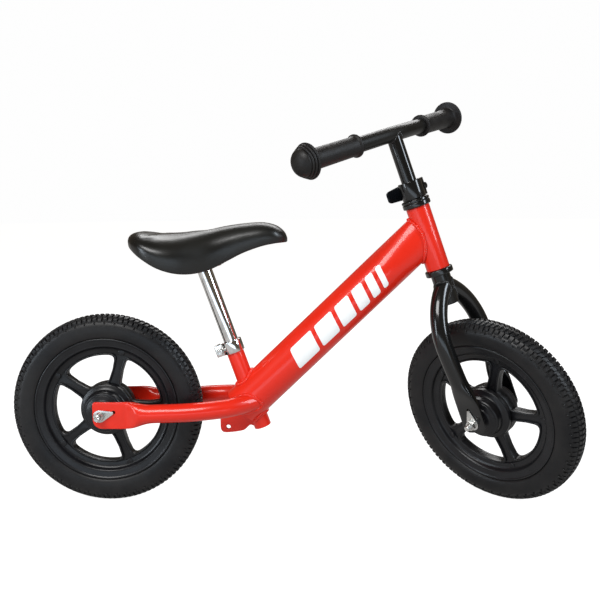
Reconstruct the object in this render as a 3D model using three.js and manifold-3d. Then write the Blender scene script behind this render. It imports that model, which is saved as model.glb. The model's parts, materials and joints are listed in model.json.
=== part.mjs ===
// Child's balance bike: a welded steel frame and fork, two moulded five-spoke wheels with foam
// tyres, a padded saddle on a sliding post, and a T-shaped handlebar held by a quick-release
// clamp. It has no pedals: the rider walks it along.
//
// Millimetres. X forward, Y to the rider's left, Z up. The bike is drawn about the rear wheel,
// with the ground at Z = 0, and moved at the end so that the origin is on the ground under the
// middle of its box. The steering is turned to the rider's right.
import * as THREE from 'three';
import { mergeVertices } from 'three/addons/utils/BufferGeometryUtils.js';
import Module from 'manifold-3d';

const wasm = await Module();
wasm.setup();

// ---- driving dimensions ----
const GAP = 0.3; // clearance between pieces that touch
const ROUND = 20; // sides of an ordinary round tube

const WHEEL_RADIUS = 145; // 12 inch wheel, over the tyre
const WHEEL_SIDES = 36;
const TYRE_HALF_WIDTH = 20;
const RIM_RADIUS = 110; // where the tyre meets the rim
const RIM_HALF_WIDTH = 17;
const WINDOW_RADIUS = 82; // outer edge of the openings between the spokes
const HUB_RADIUS = 38;
const HUB_HALF_LENGTH = 36;
const SPOKES = 5;
const SPOKE_HALF_WIDTH = 8.5;
const WEB_HALF_THICKNESS = 7;

const AXLE_RADIUS = 4; // M8
const AXLE_HALF_LENGTH = 62.4;
const BEARING_RADIUS = 11; // 608 ball bearing, 22 x 7 mm
const BEARING_WIDTH = 7;
const DROPOUT_CENTRE = 47; // from the wheel's middle plane to the middle of a dropout plate
const DROPOUT_THICKNESS = 4;
const DROPOUT_HEIGHT = 40.5;
const TAB_DISTANCE = 20.5; // axle to the small hole that keeps the safety washer from turning

const HEAD_ANGLE = THREE.MathUtils.degToRad(19.32); // steering axis, from vertical
const STEERING_TURN = THREE.MathUtils.degToRad(-44.76); // to the right
const AXIS_FOOT = new THREE.Vector3(576.57, 0, 140.05); // steering axis beside the front axle
const FORK_OFFSET = 7.6; // front axle ahead of the steering axis
const BLADE_SPACING = 50.5; // centre line of each fork blade from the middle
const BLADE_RADIUS = 12.7;

const HEAD_TUBE_RADIUS = 17.3;
const HEAD_TUBE_FROM = 229.3; // along the steering axis from its foot
const HEAD_TUBE_TO = 325.4;
const STEERER_RADIUS = 14.3;
const STEERER_BORE = 11.5;
const STEERER_FROM = 174;
const STEERER_TO = 363;
const STEM_RADIUS = 11.1;
const STEM_FROM = 268;
const BAR_HEIGHT = 436.3; // handlebar above the foot of the steering axis
const BAR_RADIUS = 11.1;
const BAR_HALF_LENGTH = 165;
const BAR_SWEEP = THREE.MathUtils.degToRad(6.2); // each half bends back by this much
const GRIP_FROM = 76.4;
const GRIP_FLANGE = 165.7; // inner side of the mushroom-shaped end

const MAIN_TUBE_RADIUS = 30.3;
const MAIN_TUBE_ANGLE = THREE.MathUtils.degToRad(43.8); // above horizontal
const MAIN_TUBE_END = new THREE.Vector3(205.8, 0, 146.4); // centre of its lower end
const MAIN_TUBE_LENGTH = 382;
const SEAT_TUBE_RADIUS = 13;
const SEAT_TUBE_BORE = 11.4;
const SEAT_ANGLE = THREE.MathUtils.degToRad(19.2); // seat tube, from vertical
const SEAT_TUBE_FOOT = new THREE.Vector3(237, 0, 115.4);
const SEAT_TUBE_LENGTH = 140;
const POST_RADIUS = 11.1;
const POST_FROM = 72; // along the seat tube from its foot
const POST_TO = 258;
const STAY_RADIUS = 13.6;
const STAY_SPACING = 50;

// ---- finishes ----
const finishes = {
  red_paint: { color: 0xdf2f22, roughness: 0.25, metalness: 0.1 },
  black_paint: { color: 0x101114, roughness: 0.2, metalness: 0.1 },
  chrome: { color: 0xcfcfd2, roughness: 0.08, metalness: 1 },
  zinc: { color: 0xbdbdb8, roughness: 0.3, metalness: 1 },
  foam: { color: 0x1b1c1e, roughness: 0.75, metalness: 0 },
  moulding: { color: 0x17181a, roughness: 0.5, metalness: 0 },
  rubber: { color: 0x16161a, roughness: 0.6, metalness: 0 },
  vinyl: { color: 0x0c0d10, roughness: 0.25, metalness: 0 },
  seat_base: { color: 0x121214, roughness: 0.6, metalness: 0 },
};

// ---- helpers ----
function cleaned(geometry) {
  geometry.deleteAttribute('normal');
  geometry.deleteAttribute('uv');
  const merged = mergeVertices(geometry, 1e-4);
  const place = merged.getAttribute('position');
  const index = merged.getIndex().array;
  const kept = [];
  let volume = 0;
  const [a, b, c] = [new THREE.Vector3(), new THREE.Vector3(), new THREE.Vector3()];
  for (let i = 0; i < index.length; i += 3) {
    const [p, q, r] = [index[i], index[i + 1], index[i + 2]];
    if (p === q || q === r || r === p) continue;
    a.fromBufferAttribute(place, p);
    b.fromBufferAttribute(place, q);
    c.fromBufferAttribute(place, r);
    volume += a.dot(b.cross(c));
    kept.push(p, q, r);
  }
  if (volume < 0) kept.reverse(); // faces must point out
  merged.setIndex(kept);
  return merged;
}

function toSolid(geometry) {
  const mesh = cleaned(geometry.clone());
  const vertProperties = new Float32Array(mesh.getAttribute('position').array);
  const triVerts = new Uint32Array(mesh.getIndex().array);
  return new wasm.Manifold(new wasm.Mesh({ numProp: 3, vertProperties, triVerts }));
}

function toGeometry(solid) {
  const mesh = solid.getMesh();
  const geometry = new THREE.BufferGeometry();
  geometry.setAttribute('position', new THREE.BufferAttribute(mesh.vertProperties, 3));
  geometry.setIndex(new THREE.BufferAttribute(mesh.triVerts, 1));
  return geometry;
}

function cut(geometry, ...tools) {
  let solid = toSolid(geometry);
  for (const tool of tools) solid = solid.subtract(toSolid(tool));
  return toGeometry(solid);
}

function joined(geometry, ...others) {
  let solid = toSolid(geometry);
  for (const other of others) solid = solid.add(toSolid(other));
  return toGeometry(solid);
}

// A turned shape about the local Z axis. The profile is a list of [radius, z]; it starts and
// ends on the axis, or it is a ring and closes on its first point.
function turned(profile, sides = ROUND) {
  const points = profile.map(([r, z]) => new THREE.Vector2(r, z));
  const onAxis = profile[0][0] === 0 && profile.at(-1)[0] === 0;
  if (!onAxis) points.push(points[0].clone());
  const geometry = new THREE.LatheGeometry(points, sides);
  geometry.rotateX(Math.PI / 2);
  return cleaned(geometry);
}

function rod(radius, from, to, sides = ROUND) {
  return turned([[0, from], [radius, from], [radius, to], [0, to]], sides);
}

function pipe(radius, bore, from, to, sides = ROUND) {
  return turned([[bore, from], [radius, from], [radius, to], [bore, to]], sides);
}

function hexagon(acrossFlats) {
  const shape = new THREE.Shape();
  for (let corner = 0; corner < 6; corner += 1) {
    const angle = (corner * Math.PI) / 3;
    const reach = acrossFlats / 2 / Math.cos(Math.PI / 6);
    const step = corner ? 'lineTo' : 'moveTo';
    shape[step](reach * Math.cos(angle), reach * Math.sin(angle));
  }
  return shape;
}

function plate(shape, from, to, curveSegments = 6) {
  const settings = { depth: to - from, bevelEnabled: false, curveSegments };
  const geometry = new THREE.ExtrudeGeometry(shape, settings);
  geometry.translate(0, 0, from);
  return cleaned(geometry);
}

function roundHole(x, y, radius) {
  const hole = new THREE.Path();
  hole.absarc(x, y, radius, 0, Math.PI * 2, true);
  return hole;
}

function nut(acrossFlats, bore, from, to) {
  const shape = hexagon(acrossFlats);
  shape.holes.push(roundHole(0, 0, bore));
  return plate(shape, from, to);
}

// A closed skin over a row of rings, each a list of points, with flat ends.
function skin(rings) {
  const count = rings[0].length;
  const place = rings.flat().flatMap((p) => [p.x, p.y, p.z]);
  const index = [];
  for (let k = 0; k < rings.length - 1; k += 1) {
    for (let i = 0; i < count; i += 1) {
      const a = k * count + i;
      const b = k * count + ((i + 1) % count);
      index.push(a, b, a + count, b, b + count, a + count);
    }
  }
  for (const [start, turn] of [[0, -1], [(rings.length - 1) * count, 1]]) {
    const middle = place.length / 3;
    const ring = rings[start / count];
    const centre = ring.reduce((sum, p) => sum.add(p), new THREE.Vector3());
    centre.divideScalar(count);
    place.push(centre.x, centre.y, centre.z);
    for (let i = 0; i < count; i += 1) {
      const [a, b] = [start + i, start + ((i + 1) % count)];
      index.push(...(turn > 0 ? [a, b, middle] : [b, a, middle]));
    }
  }
  const geometry = new THREE.BufferGeometry();
  geometry.setAttribute('position', new THREE.Float32BufferAttribute(place, 3));
  geometry.setIndex(index);
  return cleaned(geometry);
}

// An oval ring about centre, half as wide along side and half as tall along rise as given.
// squareness 2 is an ellipse; more is closer to a rounded rectangle.
function oval(centre, side, rise, halfWide, halfTall, squareness = 2, count = 16) {
  const ring = [];
  for (let i = 0; i < count; i += 1) {
    const angle = ((i + 0.5) / count) * Math.PI * 2;
    const [c, s] = [Math.cos(angle), Math.sin(angle)];
    const power = 2 / squareness;
    const across = halfWide * Math.sign(c) * Math.abs(c) ** power;
    const up = halfTall * Math.sign(s) * Math.abs(s) ** power;
    const point = centre.clone().addScaledVector(side, across).addScaledVector(rise, up);
    ring.push(point);
  }
  return ring;
}

function mix(from, to, share) {
  return from + (to - from) * share;
}

function smooth(share) {
  const s = Math.min(1, Math.max(0, share));
  return s * s * (3 - 2 * s);
}

function mirrored(geometry) {
  const other = geometry.clone();
  other.scale(1, -1, 1);
  return cleaned(other);
}

// A round bar between two places of the group, wider than the piece that it makes room for.
function clearance(from, direction, radius, length, sides = ROUND) {
  const geometry = rod(radius, 0, length, sides);
  const turn = new THREE.Quaternion();
  turn.setFromUnitVectors(new THREE.Vector3(0, 0, 1), direction);
  geometry.applyQuaternion(turn);
  geometry.translate(from.x, from.y, from.z);
  return geometry;
}

const xAxis = new THREE.Vector3(1, 0, 0);
const yAxis = new THREE.Vector3(0, 1, 0);
const zAxis = new THREE.Vector3(0, 0, 1);

const bike = new THREE.Group();
const rearAxle = new THREE.Group();
rearAxle.position.set(0, 0, WHEEL_RADIUS);
const steering = new THREE.Group(); // local X ahead of the fork, Y to its left, Z up the axis
steering.position.copy(AXIS_FOOT);
steering.quaternion.setFromAxisAngle(yAxis, -HEAD_ANGLE);
const turnedFork = new THREE.Quaternion().setFromAxisAngle(zAxis, STEERING_TURN);
steering.quaternion.multiply(turnedFork);
const frontAxle = new THREE.Group();
frontAxle.position.set(FORK_OFFSET, 0, 0);
steering.add(frontAxle);
const seat = new THREE.Group(); // local Z up the seat tube, from its foot
seat.position.copy(SEAT_TUBE_FOOT);
seat.quaternion.setFromAxisAngle(yAxis, -SEAT_ANGLE);
bike.add(rearAxle, steering, seat);

function add(group, name, geometry, finish) {
  const material = new THREE.MeshStandardMaterial(finishes[finish]);
  const mesh = new THREE.Mesh(geometry, material);
  mesh.name = name;
  group.add(mesh);
  return mesh;
}

// ---- wheels ----
function tyreShape() {
  const [w, b] = [TYRE_HALF_WIDTH, RIM_HALF_WIDTH];
  const seam = RIM_RADIUS + GAP;
  const half = [
    [WHEEL_RADIUS, 5],
    [WHEEL_RADIUS - 2, 12],
    [WHEEL_RADIUS - 8, w - 2.5],
    [WHEEL_RADIUS - 20, w],
    [RIM_RADIUS + 4, w - 1.2],
    [seam, b - 0.5],
    [seam, b - 4],
    [seam - 4, b - 4.6],
  ];
  const other = half.map(([r, z]) => [r, -z]).reverse();
  return turned([...half, ...other], WHEEL_SIDES);
}

// One opening between two spokes, with rounded corners.
function windowShape(from, to) {
  const inner = HUB_RADIUS + 3;
  const outer = WINDOW_RADIUS;
  const corner = 9;
  const at = (radius, angle) => [radius * Math.cos(angle), radius * Math.sin(angle)];
  const edge = (radius) => Math.asin(SPOKE_HALF_WIDTH / radius);
  const shape = new THREE.Shape();
  const startOuter = from + edge(outer) + corner / outer;
  const endOuter = to - edge(outer) - corner / outer;
  shape.moveTo(...at(outer, startOuter));
  shape.absarc(0, 0, outer, startOuter, endOuter, false);
  shape.quadraticCurveTo(
    ...at(outer, to - edge(outer)),
    ...at(outer - corner, to - edge(outer - corner)),
  );
  shape.lineTo(...at(inner + 4, to - edge(inner + 4)));
  shape.quadraticCurveTo(...at(inner, to - edge(inner)), ...at(inner, to - edge(inner) - 0.1));
  shape.absarc(0, 0, inner, to - edge(inner) - 0.1, from + edge(inner) + 0.1, true);
  shape.quadraticCurveTo(
    ...at(inner, from + edge(inner)),
    ...at(inner + 4, from + edge(inner + 4)),
  );
  shape.lineTo(...at(outer - corner, from + edge(outer - corner)));
  shape.quadraticCurveTo(...at(outer, from + edge(outer)), ...at(outer, startOuter));
  return shape;
}

function wheelShape(spokeAngle) {
  const [b, seat_] = [RIM_HALF_WIDTH, RIM_RADIUS - 4];
  const pocket = HUB_HALF_LENGTH - BEARING_WIDTH - 1;
  const half = [
    [seat_, b - 4.3],
    [RIM_RADIUS, b - 3.7],
    [RIM_RADIUS, b],
    [RIM_RADIUS - 15, b - 4],
    [WINDOW_RADIUS, WEB_HALF_THICKNESS],
    [HUB_RADIUS, WEB_HALF_THICKNESS],
    [HUB_RADIUS - 1, 18],
    [22, 33],
    [BEARING_RADIUS + GAP, HUB_HALF_LENGTH],
    [BEARING_RADIUS + GAP, pocket],
    [8, pocket],
  ];
  const other = half.map(([r, z]) => [r, -z]).reverse();
  const body = turned([...half, ...other], WHEEL_SIDES);
  const openings = [];
  const step = (Math.PI * 2) / SPOKES;
  for (let k = 0; k < SPOKES; k += 1) {
    const from = spokeAngle + k * step;
    openings.push(plate(windowShape(from, from + step), -40, 40, 3));
  }
  return cut(body, ...openings);
}

// The wheel, its bearings and the parts on its axle. In the group, the axle lies along Y.
function addWheel(group, side, spokeAngle) {
  const spin = new THREE.Group(); // local Z along the axle, to the rider's right
  spin.rotation.x = Math.PI / 2;
  group.add(spin);
  add(spin, `${side}_tyre`, tyreShape(), 'foam');
  add(spin, `${side}_wheel`, wheelShape(spokeAngle), 'moulding');
  const bearing = pipe(BEARING_RADIUS, AXLE_RADIUS + GAP, 0, BEARING_WIDTH, 16);
  const bearingFrom = HUB_HALF_LENGTH - BEARING_WIDTH - 0.7;
  const spacer = pipe(6.5, AXLE_RADIUS + GAP, -bearingFrom + GAP, bearingFrom - GAP, 12);
  add(spin, `${side}_hub_spacer`, spacer, 'zinc');
  add(spin, `${side}_axle`, axleShape(), 'zinc');
  for (const [hand, way] of [['right', 1], ['left', -1]]) {
    const end = new THREE.Group();
    if (way < 0) end.rotation.y = Math.PI;
    spin.add(end);
    const ring = add(end, `${side}_bearing_${hand}`, bearing.clone(), 'zinc');
    ring.position.z = bearingFrom;
    add(end, `${side}_cone_nut_${hand}`, coneNutShape(), 'zinc');
    add(end, `${side}_axle_nut_${hand}`, axleNutShape(), 'zinc');
  }
}

function axleShape() {
  const end = AXLE_HALF_LENGTH;
  const [r, bevel] = [AXLE_RADIUS, 0.8];
  const half = [[r, end - bevel], [r - bevel, end], [0, end]];
  const other = half.map(([x, z]) => [x, -z]).reverse();
  return turned([...other, ...half], 16);
}

const DROPOUT_INNER = DROPOUT_CENTRE - DROPOUT_THICKNESS / 2;
const DROPOUT_OUTER = DROPOUT_CENTRE + DROPOUT_THICKNESS / 2;
const WASHER_THICKNESS = 1.6;
const WASHER_FROM = DROPOUT_OUTER + GAP;
const NUT_FROM = WASHER_FROM + WASHER_THICKNESS + GAP;
const NUT_HEIGHT = 6.6;

// Locks the bearings against the inside of the dropout.
function coneNutShape() {
  const from = HUB_HALF_LENGTH + 0.2;
  const bore = AXLE_RADIUS + GAP;
  return turned([
    [bore, from],
    [6.3, from],
    [9.5, from + 2],
    [9.5, DROPOUT_INNER - GAP],
    [bore, DROPOUT_INNER - GAP],
  ], 18);
}

function axleNutShape() {
  return nut(13, AXLE_RADIUS + GAP, NUT_FROM, NUT_FROM + NUT_HEIGHT);
}

// Teardrop washer whose bent tip sits in the small hole of the dropout. Its tip points along
// local X; the washer lies across local Z.
function safetyWasherShape() {
  const body = 9.3;
  const tip = TAB_DISTANCE + 0.8;
  const lean = Math.acos(body / (tip + 3));
  const shape = new THREE.Shape();
  shape.moveTo(tip, -1.7);
  shape.lineTo(tip, 1.7);
  shape.absarc(0, 0, body, lean, Math.PI * 2 - lean, false);
  shape.holes.push(roundHole(0, 0, AXLE_RADIUS + GAP));
  const flat = plate(shape, WASHER_FROM, WASHER_FROM + WASHER_THICKNESS);
  const tab = new THREE.BoxGeometry(1.6, 2.8, 3.6);
  tab.translate(tip - 0.8, 0, WASHER_FROM - 1.4);
  return joined(flat, tab);
}

// The washers, one on each side; tipAngle turns the tip up from the direction of travel.
function addWashers(group, side, tipAngle) {
  for (const [hand, way] of [['right', 1], ['left', -1]]) {
    const end = new THREE.Group();
    end.rotation.set(Math.PI / 2, 0, 0);
    group.add(end);
    const shape = safetyWasherShape();
    if (way < 0) shape.scale(1, 1, -1);
    const washer = add(end, `${side}_safety_washer_${hand}`, cleaned(shape), 'zinc');
    washer.rotation.z = tipAngle;
  }
}

// ---- flattened tube ends ----
// A tube squeezed flat at its first end and round after it, through a row of stations: the
// centre, the way along, and how round it is there (0 flat, 1 round).
function flattenedTube(stations, radius, halfFlat, flatSide) {
  return stations.map(({ centre, along, roundness }) => {
    const side = flatSide.clone();
    side.addScaledVector(along, -side.dot(along)).normalize();
    const rise = new THREE.Vector3().crossVectors(side, along).normalize();
    const thin = mix(DROPOUT_THICKNESS / 2, radius, smooth(roundness));
    const tall = mix(halfFlat, radius, smooth(roundness));
    return oval(centre, side, rise, thin, tall, mix(6, 2, smooth(roundness)));
  });
}

function dropoutHoles(centre, tabDirection) {
  const start = centre.clone().addScaledVector(yAxis, -70);
  const tabStart = start.clone().addScaledVector(tabDirection, TAB_DISTANCE);
  return [
    clearance(start, yAxis, AXLE_RADIUS + 2 * GAP, 140, 12),
    clearance(tabStart, yAxis, 2.4, 140, 8),
  ];
}

// ---- frame ----
const mainTubeWay = new THREE.Vector3(Math.cos(MAIN_TUBE_ANGLE), 0, Math.sin(MAIN_TUBE_ANGLE));
const seatTubeWay = new THREE.Vector3(-Math.sin(SEAT_ANGLE), 0, Math.cos(SEAT_ANGLE));
const steeringWay = new THREE.Vector3(-Math.sin(HEAD_ANGLE), 0, Math.cos(HEAD_ANGLE));
const TAB_ANGLE = THREE.MathUtils.degToRad(15); // rear safety washer's tip, above forward
const rearTabWay = new THREE.Vector3(Math.cos(TAB_ANGLE), 0, Math.sin(TAB_ANGLE));

function seatTubeRoom(radius) {
  const from = SEAT_TUBE_FOOT.clone().addScaledVector(seatTubeWay, -60);
  return clearance(from, seatTubeWay, radius, SEAT_TUBE_LENGTH + 120);
}

function headTubeRoom(radius) {
  const from = AXIS_FOOT.clone().addScaledVector(steeringWay, HEAD_TUBE_FROM - 60);
  return clearance(from, steeringWay, radius, HEAD_TUBE_TO - HEAD_TUBE_FROM + 120);
}

function mainTubeRoom() {
  const from = MAIN_TUBE_END.clone().addScaledVector(mainTubeWay, -GAP);
  return clearance(from, mainTubeWay, MAIN_TUBE_RADIUS + GAP, 200, ROUND * 2);
}

// Round below, and drawn in at the sides to meet the narrower head tube.
function mainTubeRings(inset, overrun) {
  const rise = new THREE.Vector3(-mainTubeWay.z, 0, mainTubeWay.x);
  const taper = 95;
  const shares = [0, 0.25, 0.5, 0.75, 1];
  const stations = [-overrun, ...shares.map((s) => MAIN_TUBE_LENGTH - taper * (1 - s))];
  return stations.map((distance) => {
    const share = smooth((distance - MAIN_TUBE_LENGTH + taper) / taper);
    const wide = mix(MAIN_TUBE_RADIUS, HEAD_TUBE_RADIUS - 0.6, share) - inset;
    const centre = MAIN_TUBE_END.clone().addScaledVector(mainTubeWay, distance);
    return oval(centre, yAxis, rise, wide, MAIN_TUBE_RADIUS - inset, 2, ROUND);
  });
}

function mainTubeShape() {
  const wall = 2;
  const outside = skin(mainTubeRings(0, 0));
  const inside = skin(mainTubeRings(wall, 1));
  return cut(
    outside,
    inside,
    headTubeRoom(HEAD_TUBE_RADIUS + GAP),
    seatTubeRoom(SEAT_TUBE_RADIUS + GAP),
  );
}

// From the flat dropout forward, then in to the side of the main tube.
function stayStations() {
  const level = WHEEL_RADIUS + 0.6;
  const path = new THREE.CatmullRomCurve3([
    new THREE.Vector3(-10.5, -DROPOUT_CENTRE, level),
    new THREE.Vector3(36, -DROPOUT_CENTRE, level),
    new THREE.Vector3(78, -STAY_SPACING + 0.6, level + 3),
    new THREE.Vector3(125, -STAY_SPACING, 150.4),
    new THREE.Vector3(160, -STAY_SPACING + 1.5, 153),
    new THREE.Vector3(192, -41, 155.5),
    new THREE.Vector3(222, -22, 158.5),
    new THREE.Vector3(236, -10, 160),
  ], false, 'centripetal');
  const steps = 14;
  const stations = [];
  for (let i = 0; i <= steps; i += 1) {
    const centre = path.getPointAt(i / steps);
    const along = path.getTangentAt(i / steps);
    stations.push({ centre, along, roundness: (centre.x - 37) / 42 });
  }
  return stations;
}

function chainstayShape() {
  const stations = stayStations();
  const body = skin(flattenedTube(stations, STAY_RADIUS, DROPOUT_HEIGHT / 2, yAxis));
  const hollow = stations.slice(5);
  const bore = hollow.map((s) => flattenedTube([s], STAY_RADIUS - 1.8, 10, yAxis)[0]);
  const rear = new THREE.Vector3(0, 0, WHEEL_RADIUS);
  return cut(
    body,
    skin(bore),
    mainTubeRoom(),
    seatTubeRoom(SEAT_TUBE_RADIUS + GAP),
    ...dropoutHoles(rear, rearTabWay),
  );
}

// Flat lug under the joint for a stand or a foot rest, with one bolt hole.
function standBracketShape() {
  const shape = new THREE.Shape();
  shape.moveTo(172, 141);
  shape.lineTo(172, 113);
  shape.quadraticCurveTo(172, 104.5, 180, 104.5);
  shape.lineTo(194, 106.2);
  shape.quadraticCurveTo(208, 109, 213, 114);
  shape.quadraticCurveTo(217.5, 119, 224, 115.5);
  shape.lineTo(232, 150);
  shape.lineTo(200, 160);
  shape.holes.push(roundHole(184.2, 114, 3.3));
  const lug = plate(shape, -STAND_LUG_THICKNESS / 2, STAND_LUG_THICKNESS / 2);
  lug.rotateX(Math.PI / 2);
  return cut(lug, mainTubeRoom(), seatTubeRoom(SEAT_TUBE_RADIUS + GAP));
}

const STAND_LUG_THICKNESS = 6;

function addFrame() {
  add(bike, 'main_tube', mainTubeShape(), 'red_paint');
  const headTube = pipe(HEAD_TUBE_RADIUS, 16, HEAD_TUBE_FROM, HEAD_TUBE_TO);
  const head = new THREE.Group(); // the steering axis, without the turn of the fork
  head.position.copy(AXIS_FOOT);
  head.quaternion.setFromAxisAngle(yAxis, -HEAD_ANGLE);
  bike.add(head);
  add(head, 'head_tube', headTube, 'red_paint');
  const seatTube = pipe(SEAT_TUBE_RADIUS, SEAT_TUBE_BORE, 0, SEAT_TUBE_LENGTH);
  add(seat, 'seat_tube', seatTube, 'red_paint');
  add(bike, 'chainstay_right', chainstayShape(), 'red_paint');
  add(bike, 'chainstay_left', mirrored(chainstayShape()), 'red_paint');
  add(bike, 'stand_bracket', standBracketShape(), 'red_paint');
  addHeadset(head);
}

// ---- headset ----
function addHeadset(head) {
  const low = HEAD_TUBE_FROM;
  const high = HEAD_TUBE_TO;
  const cupRadius = 20.6;
  const lowerCup = turned([
    [15, low - GAP - 3],
    [15, low + 9],
    [15.7, low + 9],
    [15.7, low - GAP],
    [cupRadius, low - GAP],
    [cupRadius, low - 9],
    [19, low - 9],
    [19, low - GAP - 3],
  ]);
  const upperCup = turned([
    [15, high + GAP + 3],
    [15, high - 9],
    [15.7, high - 9],
    [15.7, high + GAP],
    [cupRadius, high + GAP],
    [cupRadius, high + 7.5],
    [19, high + 7.5],
    [19, high + GAP + 3],
  ]);
  add(head, 'lower_cup', lowerCup, 'black_paint');
  add(head, 'upper_cup', upperCup, 'black_paint');
  const balls = [[15, 0], [18.5, 0], [18.5, 3.6], [15, 3.6]];
  const ring = turned(balls, 16);
  add(head, 'lower_bearing', ring, 'zinc').position.z = low - GAP - 7;
  add(head, 'upper_bearing', ring.clone(), 'zinc').position.z = high + GAP + 3.4;
  const race = pipe(18.5, STEERER_RADIUS + GAP, low - 9, low - 7.7);
  add(steering, 'crown_race', race, 'black_paint');
  const lockNut = turned([
    [STEERER_RADIUS + GAP, high + 7.9],
    [cupRadius, high + 7.9],
    [cupRadius, high + 11.4],
    [19.4, high + 12.2],
    [STEERER_RADIUS + GAP, high + 12.2],
  ]);
  add(steering, 'headset_lock_nut', lockNut, 'black_paint');
}

// ---- fork ----
// The right-hand blade: it leaves the steerer sideways, sweeps round to straight down, and is
// flattened at the axle.
function bladeStations() {
  const arc = 98; // radius of the sweep
  const bend = 118; // height at which the blade turns straight
  const stations = [];
  const top = Math.acos((arc - BLADE_SPACING + 2) / arc);
  const bottom = -14;
  const turnAway = 7;
  for (let i = 0; i <= turnAway; i += 1) {
    const angle = mix(top, 0, i / turnAway);
    const lat = BLADE_SPACING - arc + arc * Math.cos(angle);
    const height = bend + arc * Math.sin(angle);
    stations.push([lat, height]);
  }
  for (const height of [76, 62, 48, 35, 22, bottom]) {
    const lat = mix(BLADE_SPACING, DROPOUT_CENTRE, smooth((bend - height) / 90));
    stations.push([lat, height]);
  }
  const points = stations.map(([lat, height]) => {
    const ahead = mix(FORK_OFFSET, 2, smooth((height - 20) / 190));
    return new THREE.Vector3(ahead, -lat, height);
  });
  return points.map((centre, i) => {
    const before = points[Math.max(0, i - 1)];
    const after = points[Math.min(points.length - 1, i + 1)];
    const along = after.clone().sub(before).normalize();
    if (i === points.length - 1) along.set(0, 0, -1);
    return { centre, along, roundness: (centre.z - 22) / 46 };
  });
}

function bladeShape() {
  const stations = bladeStations();
  const body = skin(flattenedTube(stations, BLADE_RADIUS, DROPOUT_HEIGHT / 2 - 1, yAxis));
  const hollow = stations.slice(0, 10);
  const bore = skin(flattenedTube(hollow, BLADE_RADIUS - 1.8, 10, yAxis));
  const axle = new THREE.Vector3(FORK_OFFSET, 0, 0);
  const steererStart = new THREE.Vector3(0, 0, 100);
  return cut(
    body,
    bore,
    clearance(steererStart, zAxis, STEERER_RADIUS + GAP, 160, ROUND * 2),
    ...dropoutHoles(axle, zAxis),
  );
}

function addFork() {
  const steerer = pipe(STEERER_RADIUS, STEERER_BORE, STEERER_FROM, STEERER_TO);
  const slot = new THREE.BoxGeometry(6, 2.4, 30);
  slot.rotateZ(Math.PI / 2);
  slot.translate(0, STEERER_RADIUS - 1, STEERER_TO - 14);
  add(steering, 'steerer_tube', cut(steerer, slot), 'black_paint');
  add(steering, 'fork_blade_right', bladeShape(), 'black_paint');
  add(steering, 'fork_blade_left', mirrored(bladeShape()), 'black_paint');
}

// ---- clamps ----
// An open band round a tube, with two ears along local X that a bolt draws together.
function bandShape(bore, wall, earReach, earHalfWidth, slotHalfWidth) {
  const outer = bore + wall;
  const meet = Math.asin(earHalfWidth / outer);
  const shape = new THREE.Shape();
  shape.moveTo(earReach, slotHalfWidth);
  shape.lineTo(earReach, earHalfWidth - 1);
  shape.lineTo(earReach - 1, earHalfWidth);
  shape.absarc(0, 0, outer, meet, Math.PI * 2 - meet, false);
  shape.lineTo(earReach - 1, -earHalfWidth);
  shape.lineTo(earReach, -earHalfWidth + 1);
  shape.lineTo(earReach, -slotHalfWidth);
  const slot = Math.asin(slotHalfWidth / bore);
  shape.absarc(0, 0, bore, Math.PI * 2 - slot, slot, true);
  return shape;
}

const SEAT_EAR_HALF = 7;
const SEAT_BOLT_REACH = 21.2;

function addSeatClamp() {
  const clamp = new THREE.Group();
  clamp.position.z = SEAT_TUBE_LENGTH - 16.8;
  clamp.rotation.z = Math.PI; // ears to the rear
  seat.add(clamp);
  const height = 18;
  const outline = bandShape(SEAT_TUBE_RADIUS + GAP, 2.3, 27.2, SEAT_EAR_HALF, 2);
  const band = plate(outline, 0, height, 12);
  const level = height / 2 - 1.5;
  const boltStart = new THREE.Vector3(SEAT_BOLT_REACH, -30, level);
  const hole = clearance(boltStart, yAxis, 3.3, 60, 12);
  add(clamp, 'seat_clamp_band', cut(band, hole), 'zinc');
  const face = SEAT_EAR_HALF + GAP;
  const bolt = new THREE.Group(); // local Z out of the bolt's head
  bolt.position.set(SEAT_BOLT_REACH, 0, level);
  bolt.rotation.x = -Math.PI / 2;
  clamp.add(bolt);
  const head = turned([
    [0, -face - 7.5],
    [3, -face - 7.5],
    [3, face],
    [5, face],
    [5, face + 4.4],
    [4.4, face + 5],
    [2.4, face + 5],
    [2.4, face + 2.4],
    [0, face + 2.4],
  ], 18);
  add(bolt, 'seat_clamp_bolt', head, 'zinc');
  add(bolt, 'seat_clamp_nut', nut(10, 3 + GAP, -face - 5, -face), 'zinc');
}

const BAR_EAR_HALF = 6;
const BAR_BOLT_REACH = 21.5;
const BAR_CLAMP_FROM = HEAD_TUBE_TO + 12.6;
const BAR_CLAMP_HEIGHT = 26;
const LEVER_PIVOT = BAR_EAR_HALF + 6;

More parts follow.
